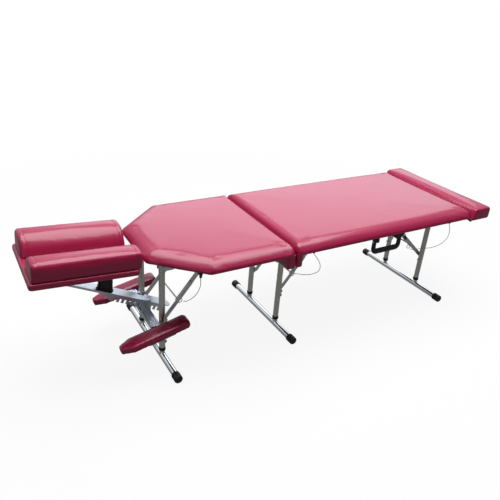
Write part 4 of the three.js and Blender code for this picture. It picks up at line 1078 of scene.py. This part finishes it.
for name, leg in LEGS.items():
    x, fold, plunger = leg["x"], leg["fold"], leg["plunger"]
    top = plunger + UPRIGHT_RISE
    uprights = Piece(f"{name}_uprights")
    holes = Piece("holes")
    for side, word in SIDES:
        y = side * LEG_Y
        uprights.add(turned([(6.8, FOOT_Z + 9), (8.5, FOOT_Z + 9), (8.8, FOOT_Z + 9.4),
                             (8.8, top - 0.4), (8.5, top), (6.8, top)], 40, True),
                     Matrix.Translation((x, y, 0)))
        for step in range(HOLES):
            z = plunger + step * HOLE_STEP
            holes.add(turned(HOLE_CUT, 16), along((x + fold * 5, y, z), (x + fold * 9, y, z)))
    made = uprights.make(CHROME, f"{name}_foot", "chrome_tube", [f"{name}_foot_frame"])
    made.data = shaded(cut_by(made, holes.mesh()))
print("uprights made, each with", HOLES, "holes")

# %% [markdown]
# The foot bar is bright chrome, welded to the uprights, with a ribbed rubber cap pushed over
# each end. The weld is a small turned ring that tapers up the tube.

# %% Foot bars and caps
WELD = [(8.7, FOOT_Z + 8), (11, FOOT_Z + 9.6), (10.2, FOOT_Z + 11.2), (9.3, FOOT_Z + 12.8),
        (8.7, FOOT_Z + 13.4)]
CAP = [(12.4, 34), (14.6, 34), (15.2, 33.2), (CAP_RADIUS, 31.6)]
for k in range(5):
    h = 29.5 - k * 2.6
    CAP += [(CAP_RADIUS, h), (14.9, h - 0.5), (14.9, h - 1.1), (CAP_RADIUS, h - 1.6)]
CAP += [(CAP_RADIUS, 5.2), (15.0, 2.6), (13.4, 0.8), (10.5, 0), (0, 0), (0, 7.6), (12.4, 7.6)]
for name, leg in LEGS.items():
    x, end = leg["x"], leg["span"] / 2 - 8.6
    bar = Piece(f"{name}_foot_bar")
    bar.add(turned([(10.3, -end), (11.8, -end), (12.2, -end + 0.4), (12.2, end - 0.4),
                    (11.8, end), (10.3, end)], 56, True),
            along((x, 0, FOOT_Z), (x, 1, FOOT_Z)))
    for side, word in SIDES:
        bar.add(turned(WELD, 40, True), Matrix.Translation((x, side * LEG_Y, 0)))
    bar.make(CHROME, f"{name}_foot", "chrome_tube", sharp=40)
    for side, word in SIDES:
        tip = side * leg["span"] / 2
        Piece(f"{name}_cap_boot_{word}").add(
            turned(CAP, 48), along((x, tip, FOOT_Z), (x, tip - side, FOOT_Z))).make(
            RUBBER, f"{name}_foot", "cap_rubber", [f"{name}_cap_{word}"])
print("foot bars and caps made")

# %% [markdown]
# Each sprung pin ends in a small turned knob with a waist, so that two fingers can pull it.

# %% Sprung pins
PIN_KNOB = [(0, 7.4), (1.9, 7.4), (2.5, 8.2), (2.5, 12.2), (2.6, 13.4), (4.6, 13.5), (5, 14),
            (4.4, 14.8), (4.6, 15.5), (5, 15.9), (4.8, 16.8), (3.6, 17.2), (0, 17.3)]
for name, leg in LEGS.items():
    x, fold, plunger = leg["x"], leg["fold"], leg["plunger"]
    for side, word in SIDES:
        y = side * LEG_Y
        Piece(f"{name}_pin_knob_{word}").add(
            turned(PIN_KNOB, 32), along((x, y, plunger), (x + fold, y, plunger))).make(
            CHROME, f"{name}_plunger_{word[0]}", "chrome_tube", [f"{name}_plunger_{word}"])
print("sprung pins made")

# %% [markdown]
# ## Folding braces
#
# A brace has an upper yoke and two lower links of flat steel with rounded ends. The yoke
# reaches past the bend and carries a cross rod, and the pull ring hangs on the rod. The
# links are plates whose outline is a long slot, with a rivet at each turning point.

# %% Braces
LINK_THICKNESS, YOKE_WIDTH, LINK_WIDTH = 3.0, 19, 16
CROSS_ROD = [(0, -89), (3, -89), (3, 89), (0, 89)]
RING_RADIUS, RING_WIRE, RING_Y = 11, 1.4, -83.2


def flat_link(start, end, width, y):
    a, b = Vector((start.x, 0, start.y)), Vector((end.x, 0, end.y))
    way = (b - a).normalized()
    frame_of = Matrix.Identity(4)
    across = Vector((0, 1, 0)).cross(way)
    for row in range(3):
        frame_of[row][0], frame_of[row][1] = way[row], across[row]
        frame_of[row][2] = (0, 1, 0)[row] if way.cross(across).y > 0 else (0, -1, 0)[row]
    frame_of.translation = a + Vector((0, y, 0))
    half, length = width / 2, (b - a).length
    corners = box_corners(-half, length + half, -half, half)
    thick = LINK_THICKNESS / 2
    return plate(corners, half * 0.98, -thick, thick, 0.5, 10), frame_of


def rivet(piece, place, y, side, radius, height):
    piece.add(axle_head(radius, height),
              along((place.x, y, place.y), (place.x, y + side, place.y)))


for name, leg in LEGS.items():
    fold = leg["fold"]
    yoke = Piece(f"{name}_yoke_straps")
    links = Piece(f"{name}_link_straps")
    rod_at, elbow_at = leg["rod_at"], leg["elbow_at"]
    for side, word in SIDES:
        yoke.add(*flat_link(leg["hold_at"], rod_at, YOKE_WIDTH, side * UPPER_Y))
        links.add(*flat_link(leg["pin_at"], elbow_at, LINK_WIDTH, side * LOWER_Y))
        rivet(yoke, elbow_at, side * 86.2, -side, 6, 1.5)
        rivet(links, elbow_at, side * 92.6, side, 5.4, 1.1)
        rivet(yoke, rod_at, side * 89, side, 4.6, 0.4)
    yoke.add(turned(CROSS_ROD, 24), along((rod_at.x, 0, rod_at.y), (rod_at.x, 1, rod_at.y)))
    yoke.make(ZINC, f"{name}_yoke", "zinc_steel", [f"{name}_brace_upper"])
    links.make(ZINC, f"{name}_links", "zinc_steel",
               [f"{name}_brace_lower_near", f"{name}_brace_lower_far"])
    ring_at = Vector((rod_at.x + fold * RING_RADIUS * math.sqrt(0.5), RING_Y,
                      rod_at.y - RING_RADIUS * math.sqrt(0.5)))
    circle = [ring_at + Vector((RING_RADIUS * math.cos(a), 0.6 * math.sin(2 * a),
                                RING_RADIUS * math.sin(a)))
              for a in (math.tau * k / 48 for k in range(48))]
    Piece(f"{name}_pull_ring").add(swept_ring(circle, RING_WIRE, 12)).make(
        ZINC, f"{name}_yoke", "zinc_steel")
print("braces made")

# %% [markdown]
# ## Carry handle and case latch
#
# The handle is one moulded U with a thick grip. It is lofted along its middle line from
# rounded cross-sections that grow from the posts to the grip, which gives the soft moulded
# look that a bevelled block would not have. The latch is a tapered tongue that turns on a
# bright rivet.

# %% Carry handle
HANDLE_X, HANDLE_Y, HANDLE_Z = 430, -270.1, 408
HANDLE = Matrix.Translation((HANDLE_X, HANDLE_Y, HANDLE_Z))
SQUARENESS, SECTION_POINTS = 0.55, 24
BOSS_TOP = 418.6
HANDLE_PIN = [(0, 0), (3, 0), (3, 15.6), (5, 15.7), (4.8, 16.5), (3.2, 17), (0, 17.1)]


def soft_section(place, across, width, depth):
    ring = []
    for a in (math.tau * k / SECTION_POINTS for k in range(SECTION_POINTS)):
        u, v = (math.copysign(abs(part) ** SQUARENESS, part)
                for part in (math.cos(a), math.sin(a)))
        ring.append(Vector(place) + Vector(across) * (u * width / 2)
                    + Vector((0, v * depth / 2, 0)))
    return ring


def handle_form():
    half = [((-65, 0, 8.5), 0, 8, 7), ((-65, 0, 8.2), 0, 11, 10), ((-65, 0, 7.2), 0, 13.6, 12),
            ((-65, 0, 5), 0, 15, 13), ((-65, 0, -10), 0, 15, 13), ((-65, 0, -23), 0, 15.4, 13)]
    for k in range(9):
        a = math.pi / 2 * k / 8
        half.append(((-51 - 14 * math.cos(a), 0, -30.5 - 14 * math.sin(a)), a,
                     15.6 + 5.4 * k / 8, 13))
    half += [((x, 0, -44.5), math.pi / 2, 21, 13 + 0.9 * math.cos(x * math.tau / 22))
             for x in (-44, -38.5, -33, -27.5, -22, -16.5, -11, -5.5, 0)]
    whole = half + [((-p[0], p[1], p[2]), math.pi - a, w, d)
                    for p, a, w, d in reversed(half[:-1])]
    return skin([soft_section(p, (math.cos(a), 0, math.sin(a)), w, d) for p, a, w, d in whole])


Piece("carry_handle_grip").add(handle_form(), HANDLE).make(
    BLACK, "handle", "black_plastic", ["carry_handle"], sharp=50)
lugs = Piece("handle_lugs")
pins = Piece("handle_pins")
for side, word in SIDES:
    near, far = sorted((HANDLE_X + side * 44.9, HANDLE_X + side * 56.9))
    lugs.add(plate(box_corners(near, far, -276.6, -250), 2, 402, BOSS_TOP, 0.8, 4))
    pins.add(turned(HANDLE_PIN, 24),
             along((HANDLE_X + side * 56.9, HANDLE_Y, HANDLE_Z),
                   (HANDLE_X + side * 80, HANDLE_Y, HANDLE_Z)))
lugs.make(BLACK, "rear_section", "black_plastic")
pins.make(ZINC, "rear_section", "zinc_steel")
print("handle made")

# %% [markdown]
# The tongue of the latch is drawn as two arcs joined by straight sides. Its edge is rounded
# by stacking the same outline, a little smaller at the front and back. Three steel clips
# hold the rod of the foot hinge.

# %% Case latch and hinge clips
LATCH_X, LATCH_Z = 514, 412.4
LATCH = (Matrix.Translation((LATCH_X, -271.9, LATCH_Z))
         @ Matrix.Rotation(math.radians(-35), 4, "Y"))
LATCH_POST = [(0, 0), (2.6, 0), (2.6, 5.5), (5.2, 5.6), (5.0, 6.2), (3.6, 6.8), (0, 7.0)]


def tongue_form():
    rings = []
    for inset, y in ((1.0, 0), (0.2, -0.3), (0, -1), (0, -4), (0.3, -4.7), (1.2, -5)):
        wide, tip = 6.5 - inset, 3.5 - inset
        ring = [(wide * math.cos(a), y, wide * math.sin(a))
                for a in (math.pi * k / 14 for k in range(15))]
        ring += [(tip * math.cos(a), y, -26.5 + tip * math.sin(a))
                 for a in (math.pi + math.pi * k / 10 for k in range(11))]
        rings.append(ring)
    return skin(rings)


Piece("case_latch_tongue").add(tongue_form(), LATCH).make(
    BLACK, "latch", "black_plastic", ["case_latch"], sharp=45)
latch_post = Piece("latch_post")
latch_post.add(turned(LATCH_POST, 32),
               along((LATCH_X, -271.4, LATCH_Z), (LATCH_X, -280, LATCH_Z)))
latch_post.make(CHROME, "rear_section", "chrome_tube")
Piece("latch_boss").add(
    plate(box_corners(LATCH_X - 6, LATCH_X + 6, -271.3, -250), 1.5, 406.4, BOSS_TOP, 0.6, 3)
).make(BLACK, "rear_section", "black_plastic")
clips = Piece("hinge_clips")
for y in (-230, 0, 230):
    low, high = y - 12.5, y + 12.5
    clips.add(plate(box_corners(873.4, ROD_X, low, high), 3, FOOT_LOW, 407.6, 0.5, 4))
    clips.add(plate(box_corners(873.4, 888.4, low, high), 2, 407.4, DECK_LOW + 1, 0.3, 3))
clips.make(ZINC, "rear_section", "zinc_steel")
print("latch and clips made")

# %% [markdown]
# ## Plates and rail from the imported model
#
# The toothed rail, the cross arm, the brackets and the centre hinge are flat metal parts,
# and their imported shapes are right. They keep their meshes. A weld joins their loose
# triangles and a fine bevel breaks the edges, so that each edge catches light. The width of
# the bevel depends on how thick the metal is.

# %% Carried-over metal parts
BEVEL_FROM = math.radians(35)
NODE_FINISH = {
    "head_rail": (ALLOY, 0.7), "armrest_arm": (ALLOY, 0.35), "neck_bracket": (ZINC, 0.4),
    "front_leg_bracket": (ZINC, 0.4), "middle_leg_bracket": (ZINC, 0.4),
    "rear_leg_bracket": (ZINC, 0.4), "hinge_front_leaf": (ZINC, 0.35),
    "hinge_rear_leaf": (ZINC, 0.35), "hinge_pin": (ZINC, 0.3),
}
for name, (finish, width) in NODE_FINISH.items():
    solid = bpy.data.objects[name]
    if not solid.material_slots:
        solid.data.materials.append(None)
    for place in solid.material_slots:
        place.material = finish
    weld = solid.modifiers.new("weld", "WELD")
    weld.merge_threshold = SAME_PLACE
    edges = solid.modifiers.new("edges", "BEVEL")
    edges.width, edges.segments, edges.limit_method = width * MM, 2, "ANGLE"
    edges.angle_limit = BEVEL_FROM
    edges.harden_normals = True
print("carried over", len(NODE_FINISH))

# %% [markdown]
# ## Screws, staples and stitches
#
# Small fasteners repeat, so Geometry Nodes place them. The first tree puts a screw on each
# point of a mesh: a domed head with a cross recess on a thin washer, turned at random as if
# driven by hand. The second tree follows a line and lays a short wire at even steps along
# it, which serves for staples and, in thread, for the stitches of a seam. Both trees end in
# real geometry with a material, which is then kept as a plain mesh.


# %% Start and end of a tree
def geometry_tree(name, inputs):
    tree = bpy.data.node_groups.new(name, "GeometryNodeTree")
    tree.interface.new_socket("Geometry", in_out="INPUT", socket_type="NodeSocketGeometry")
    for label, kind, value in inputs:
        socket = tree.interface.new_socket(label, in_out="INPUT", socket_type=kind)
        if value is not None:
            socket.default_value = value
    tree.interface.new_socket("Geometry", in_out="OUTPUT", socket_type="NodeSocketGeometry")
    return tree, tree.nodes.new("NodeGroupInput"), tree.nodes.new("NodeGroupOutput")


def finish_tree(tree, given, out, instances):
    real = node(tree, "GeometryNodeRealizeInstances")
    paint = node(tree, "GeometryNodeSetMaterial")
    wire(tree, (instances, real.inputs[0]), (real.outputs[0], paint.inputs["Geometry"]),
         (given.outputs["Finish"], paint.inputs["Material"]),
         (paint.outputs["Geometry"], out.inputs["Geometry"]))


print("tree ends ready")

# %% [markdown]
# The inputs of the screw tree are the radius of the head, the way it faces, the seed of its
# turn and its finish. All its other sizes are shares of the radius.

# %% Node tree for screws
WASHER_SHARE, WASHER_DEPTH = 1.35, 0.24
RECESS, RECESS_LIFT, DOME = (1.15, 0.26, 0.5), (0, 0, 0.5), (1, 1, 0.5)


def screw_tree():
    tree, given, out = geometry_tree("screws", [
        ("Radius", "NodeSocketFloat", 0.0035), ("Facing", "NodeSocketVector", (0, 0, -1)),
        ("Seed", "NodeSocketInt", 7), ("Finish", "NodeSocketMaterial", None)])
    dome = node(tree, "GeometryNodeMeshUVSphere", values={"Segments": 20, "Rings": 10})
    flat = node(tree, "GeometryNodeTransform", values={"Scale": DOME})
    washer = node(tree, "GeometryNodeMeshCylinder", values={"Vertices": 24})
    wide = node(tree, "ShaderNodeMath", {"operation": "MULTIPLY"}, {1: WASHER_SHARE})
    thin = node(tree, "ShaderNodeMath", {"operation": "MULTIPLY"}, {1: WASHER_DEPTH})
    long = node(tree, "ShaderNodeVectorMath", {"operation": "SCALE"}, {0: RECESS})
    slot = node(tree, "GeometryNodeMeshCube")
    lift = node(tree, "ShaderNodeVectorMath", {"operation": "SCALE"}, {0: RECESS_LIFT})
    up = node(tree, "GeometryNodeTransform")
    second = node(tree, "GeometryNodeTransform", values={"Rotation": (0, 0, math.pi / 2)})
    recess = node(tree, "GeometryNodeMeshBoolean", {"operation": "DIFFERENCE"})
    both = node(tree, "GeometryNodeJoinGeometry")
    spin = node(tree, "FunctionNodeRandomValue", {"data_type": "FLOAT"})
    spin.inputs[3].default_value = math.pi
    swing = node(tree, "ShaderNodeCombineXYZ")
    aim = node(tree, "FunctionNodeAlignRotationToVector", {"axis": "Z"})
    turn_by = node(tree, "FunctionNodeRotateRotation", {"rotation_space": "LOCAL"})
    spread = node(tree, "GeometryNodeInstanceOnPoints")
    points = node(tree, "GeometryNodeMeshToPoints")
    wire(tree, (given.outputs["Radius"], dome.inputs["Radius"]),
         (dome.outputs["Mesh"], flat.inputs["Geometry"]),
         (given.outputs["Radius"], wide.inputs[0]), (wide.outputs[0], washer.inputs["Radius"]),
         (given.outputs["Radius"], thin.inputs[0]), (thin.outputs[0], washer.inputs["Depth"]),
         (given.outputs["Radius"], long.inputs["Scale"]),
         (long.outputs[0], slot.inputs["Size"]),
         (given.outputs["Radius"], lift.inputs["Scale"]),
         (slot.outputs["Mesh"], up.inputs["Geometry"]),
         (lift.outputs[0], up.inputs["Translation"]),
         (up.outputs["Geometry"], second.inputs["Geometry"]),
         (flat.outputs["Geometry"], recess.inputs[0]),
         (up.outputs["Geometry"], recess.inputs[1]),
         (second.outputs["Geometry"], recess.inputs[1]),
         (recess.outputs[0], both.inputs[0]), (washer.outputs["Mesh"], both.inputs[0]),
         (given.outputs["Seed"], spin.inputs["Seed"]), (spin.outputs[1], swing.inputs["Z"]),
         (given.outputs["Facing"], aim.inputs["Vector"]),
         (aim.outputs[0], turn_by.inputs[0]), (swing.outputs[0], turn_by.inputs[1]),
         (given.outputs["Geometry"], points.inputs["Mesh"]),
         (points.outputs[0], spread.inputs["Points"]),
         (both.outputs[0], spread.inputs["Instance"]),
         (turn_by.outputs[0], spread.inputs["Rotation"]))
    finish_tree(tree, given, out, spread.outputs["Instances"])
    return tree


SCREWS = screw_tree()
print("screw tree", len(SCREWS.nodes), "nodes")

# %% [markdown]
# The inputs of the staple tree are the step along the line, the length and the radius of the
# wire, and its finish. The line gives each wire its direction.


# %% Node tree for staples and stitches
def staple_tree():
    tree, given, out = geometry_tree("staples", [
        ("Step", "NodeSocketFloat", 0.03), ("Length", "NodeSocketFloat", 0.010),
        ("Wire", "NodeSocketFloat", 0.0005), ("Finish", "NodeSocketMaterial", None)])
    line = node(tree, "GeometryNodeMeshToCurve")
    steps = node(tree, "GeometryNodeCurveToPoints", {"mode": "LENGTH"})
    half = node(tree, "ShaderNodeMath", {"operation": "MULTIPLY"}, {1: 0.5})
    back = node(tree, "ShaderNodeMath", {"operation": "MULTIPLY"}, {1: -0.5})
    start = node(tree, "ShaderNodeCombineXYZ")
    end = node(tree, "ShaderNodeCombineXYZ")
    crown = node(tree, "GeometryNodeCurvePrimitiveLine")
    section = node(tree, "GeometryNodeCurvePrimitiveCircle", values={"Resolution": 6})
    rod = node(tree, "GeometryNodeCurveToMesh", values={"Fill Caps": True})
    spread = node(tree, "GeometryNodeInstanceOnPoints")
    wire(tree, (given.outputs["Geometry"], line.inputs[0]), (line.outputs[0], steps.inputs[0]),
         (given.outputs["Step"], steps.inputs["Length"]),
         (given.outputs["Length"], half.inputs[0]), (given.outputs["Length"], back.inputs[0]),
         (half.outputs[0], end.inputs["Z"]), (back.outputs[0], start.inputs["Z"]),
         (start.outputs[0], crown.inputs["Start"]), (end.outputs[0], crown.inputs["End"]),
         (given.outputs["Wire"], section.inputs["Radius"]),
         (crown.outputs[0], rod.inputs["Curve"]),
         (section.outputs[0], rod.inputs["Profile Curve"]),
         (steps.outputs["Points"], spread.inputs["Points"]),
         (steps.outputs["Rotation"], spread.inputs["Rotation"]),
         (rod.outputs[0], spread.inputs["Instance"]))
    finish_tree(tree, given, out, spread.outputs["Instances"])
    return tree


STAPLES = staple_tree()
print("staple tree", len(STAPLES.nodes), "nodes")

# %% [markdown]
# A tree works on a plain guide mesh. Its inputs are set by the identifiers of the sockets,
# the result is read back as a mesh, and the guide is thrown away.


# %% A tree's result as a plain mesh
def grown(name, tree, points, edges, values, body):
    guide = bpy.data.meshes.new(name + "_guide")
    guide.from_pydata([spot(*p) for p in points], edges, [])
    carrier = placed(name + "_guide", guide)
    nodes = carrier.modifiers.new("grow", "NODES")
    nodes.node_group = tree
    for item in tree.interface.items_tree:
        if item.in_out == "INPUT" and item.name in values:
            nodes[item.identifier] = values[item.name]
    bpy.context.view_layer.update()
    mesh = read_back(carrier)
    mesh.name = name
    bpy.data.objects.remove(carrier)
    made = placed(name, shaded(outward(mesh)))
    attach(made, body)
    print(name, len(mesh.polygons), "faces")


def screws(name, points, body, radius, seed):
    sizes = {"Radius": radius * MM, "Facing": (0, 0, -1), "Seed": seed, "Finish": ZINC}
    grown(name, SCREWS, points, [], sizes, body)


print("fasteners can be placed")

# %% [markdown]
# The brackets of the legs and of the neck are screwed to the boards from below, and so are
# the leaves of the centre hinge. The covers are stapled to the boards along their hems.

# %% Screws and staples
BRACKET_LOW, HINGE_LOW = 406.7, 370.3
BRACKET_SCREW, HINGE_SCREW, SCREW_STEP = 3.5, 3.0, 49
STAPLE = {"Step": 0.032, "Length": 0.010, "Wire": 0.0005, "Finish": ZINC}
STAPLE_INSET, STAPLE_Z = 33, DECK_LOW - 0.3
for section, corners in SECTIONS:
    line = [(p.x, p.y, STAPLE_Z)
            for p in outline(corners, PAD_CORNER, STAPLE_INSET, 6, NO_POINTS)]
    ring = [(i, (i + 1) % len(line)) for i in range(len(line))]
    grown(section + "_staples", STAPLES, line, ring, STAPLE, section)
for name, leg in LEGS.items():
    points = [(leg["x"] + leg["fold"] * across, side * 114.5, BRACKET_LOW)
              for side, word in SIDES
              for across in (-6, leg["hold"] * 0.33, leg["hold"] * 0.86)]
    screws(f"{name}_bracket_screws", points, SECTION_OF[name], BRACKET_SCREW, len(name))
screws("neck_screws", [(x, y, BRACKET_LOW) for x in (-470, -448) for y in (-48, -20, 20, 48)],
       "front_section", BRACKET_SCREW, 11)
for section, x in (("front_section", -20), ("rear_section", 20)):
    points = [(x, y, HINGE_LOW) for y in range(-196, 197, SCREW_STEP)]
    screws(f"{section}_hinge_screws", points, section, HINGE_SCREW, 13)
print("screws and staples placed")

# %% [markdown]
# The end panels of the head cushions are sewn on. Their stitches follow the cross-section
# and are set on the swollen surface, so they lie in the drawn-in seam.

# %% Stitches of the head cushions
THREAD = plastic("seam_thread", (0.22, 0.004, 0.03), (0.3, 0.02, 0.06), (0.6, 0.8), 2000)
THREAD_RADIUS = 0.00035
STITCH = {"Step": 0.0065, "Length": 0.0045, "Wire": THREAD_RADIUS, "Finish": THREAD}
STITCH_SHAPE = [(CUSHION_EDGE - CUSHION_WIDTH * across, CUSHION_LOW + CUSHION_HEIGHT * up)
                for across, up in smooth_line(LOAF, 4)]
for side, word in SIDES:
    bpy.context.view_layer.update()
    line, edges = [], []
    for plane_x in SEAM_PLANES:
        first = len(line)
        for y, z in STITCH_SHAPE:
            at = spot(*(HEAD @ Vector((plane_x, side * y, z))))
            where, facing = head_cushions[side].closest_point_on_mesh(at)[1:3]
            where = where + facing * THREAD_RADIUS
            line.append((where.x / MM + FOLD_TO_MIDDLE, where.y / MM, where.z / MM))
        edges += [(i, i + 1) for i in range(first, len(line) - 1)]
    grown(f"head_stitches_{word}", STAPLES, line, edges, STITCH, "head")
print("stitches placed")

# %% [markdown]
# ## Floor, backdrop and light
#
# The table stands in a white studio. The floor is a plain pale plane that still shows a
# faint shadow near the table and fades to white away from it. The world is white to the
# camera. Polished metal and glossy vinyl need something darker to mirror as well, so in
# reflections the floor is dim, and the world is bright above and behind the table and grows
# dimmer towards the near side.

# %% Floor
FLOOR_REACH, FLOOR_Z = 14, -0.0006
FLOOR_TONE, FLOOR_BOUNCE, FLOOR_MIRRORED = (0.88,) * 3, (0.25,) * 3, 0.22
FADE = {"From Min": 0.8, "From Max": 2.6, "To Min": 0.9, "To Max": 1.0}
WHITE = (1, 1, 1, 1)


def floor_finish():
    made = bpy.data.materials.new("studio_floor")
    made.use_nodes = True
    tree = made.node_tree
    tree.nodes.clear()
    path = node(tree, "ShaderNodeLightPath")
    place = node(tree, "ShaderNodeTexCoord")
    away = node(tree, "ShaderNodeVectorMath", {"operation": "LENGTH"})
    white = node(tree, "ShaderNodeMapRange", values=FADE)
    tone = tinted(tree, path.outputs["Is Camera Ray"], FLOOR_BOUNCE, FLOOR_TONE)
    plain = node(tree, "ShaderNodeBsdfDiffuse")
    bright = node(tree, "ShaderNodeEmission", values={"Color": WHITE, "Strength": 1.0})
    dim = node(tree, "ShaderNodeEmission", values={"Color": WHITE, "Strength": FLOOR_MIRRORED})
    share = node(tree, "ShaderNodeMath", {"operation": "MULTIPLY"})
    seen = node(tree, "ShaderNodeMixShader")
    mirrored = node(tree, "ShaderNodeMixShader")
    out = node(tree, "ShaderNodeOutputMaterial")
    wire(tree, (place.outputs["Object"], away.inputs[0]),
         (away.outputs["Value"], white.inputs[0]),
         (tone, plain.inputs["Color"]),
         (path.outputs["Is Camera Ray"], share.inputs[0]), (white.outputs[0], share.inputs[1]),
         (share.outputs[0], seen.inputs[0]), (plain.outputs[0], seen.inputs[1]),
         (bright.outputs[0], seen.inputs[2]),
         (path.outputs["Is Glossy Ray"], mirrored.inputs[0]),
         (seen.outputs[0], mirrored.inputs[1]), (dim.outputs[0], mirrored.inputs[2]),
         (mirrored.outputs[0], out.inputs["Surface"]))
    return made


floor_mesh = bpy.data.meshes.new("studio_floor")
floor_mesh.from_pydata(
    [(x, y, FLOOR_Z) for x, y in box_corners(-FLOOR_REACH, FLOOR_REACH, -FLOOR_REACH,
                                             FLOOR_REACH)], [], [(0, 1, 2, 3)])
floor_mesh.materials.append(floor_finish())
placed("studio_floor", floor_mesh)
print("floor", 2 * FLOOR_REACH, "m wide")

# %% [markdown]
# The world has three backgrounds. Rays from the camera and through glass see white, mirrored
# rays see the brightness that fits their direction, and all others a weak even light.

# %% World
BRIGHT_SIDE, MIRROR_COLOUR = (0.1, 0.5, 0.85), (0.9, 0.94, 1, 1)
DIMMING = {"From Min": 0.15, "From Max": 0.75, "To Min": 0.1, "To Max": 0.92}
EVEN_LIGHT = 0.14
studio = bpy.data.worlds.new("studio")
studio.use_nodes = True
scene.world = studio
sky = studio.node_tree
sky.nodes.clear()
ray = node(sky, "ShaderNodeLightPath")
way = node(sky, "ShaderNodeTexCoord")
behind = node(sky, "ShaderNodeVectorMath", {"operation": "DOT_PRODUCT"}, {1: BRIGHT_SIDE})
height = node(sky, "ShaderNodeMapRange", values=DIMMING)
either = node(sky, "ShaderNodeMath", {"operation": "MAXIMUM"})
diffuse = node(sky, "ShaderNodeBackground", values={"Color": WHITE, "Strength": EVEN_LIGHT})
mirror = node(sky, "ShaderNodeBackground", values={"Color": MIRROR_COLOUR})
white = node(sky, "ShaderNodeBackground", values={"Color": WHITE, "Strength": 1.0})
first = node(sky, "ShaderNodeMixShader")
last = node(sky, "ShaderNodeMixShader")
sky_out = node(sky, "ShaderNodeOutputWorld")
wire(sky, (way.outputs["Generated"], behind.inputs[0]),
     (behind.outputs["Value"], height.inputs["Value"]),
     (height.outputs["Result"], mirror.inputs["Strength"]),
     (ray.outputs["Is Glossy Ray"], first.inputs[0]), (diffuse.outputs[0], first.inputs[1]),
     (mirror.outputs[0], first.inputs[2]),
     (ray.outputs["Is Camera Ray"], either.inputs[0]),
     (ray.outputs["Is Transmission Ray"], either.inputs[1]),
     (either.outputs[0], last.inputs[0]), (first.outputs[0], last.inputs[1]),
     (white.outputs[0], last.inputs[2]), (last.outputs[0], sky_out.inputs["Surface"]))
print("world ready")

# %% [markdown]
# One wide lamp hangs over the table and gives the tops their light. A second stands behind
# the far side, where the tops mirror it towards the camera: that is the pink sheen on the
# vinyl. A weak third lamp fills the near side.

# %% Lamps
def lamp(name, place, target, size, power, colour=(1, 1, 1)):
    light = bpy.data.lights.new(name, "AREA")
    light.color = colour
    light.shape, light.size, light.size_y, light.energy = "RECTANGLE", *size, power
    made = placed(name, light)
    made.matrix_world = along(place, target) @ Matrix.Rotation(math.pi, 4, "X")
    made.visible_camera = False


lamp("overhead_lamp", (0.1, 0.2, 2.5), (0, 0, 0.3), (3.0, 1.8), 88)
lamp("sheen_lamp", (1.9, 2.9, 1.9), (0, 0, 0.4), (4.2, 1.8), 28, (0.9, 0.94, 1))
lamp("fill_lamp", (-2.6, -2.4, 1.5), (0, 0, 0.3), (2.0, 1.6), 6)
print("lamps", [light.name for light in bpy.data.lights])
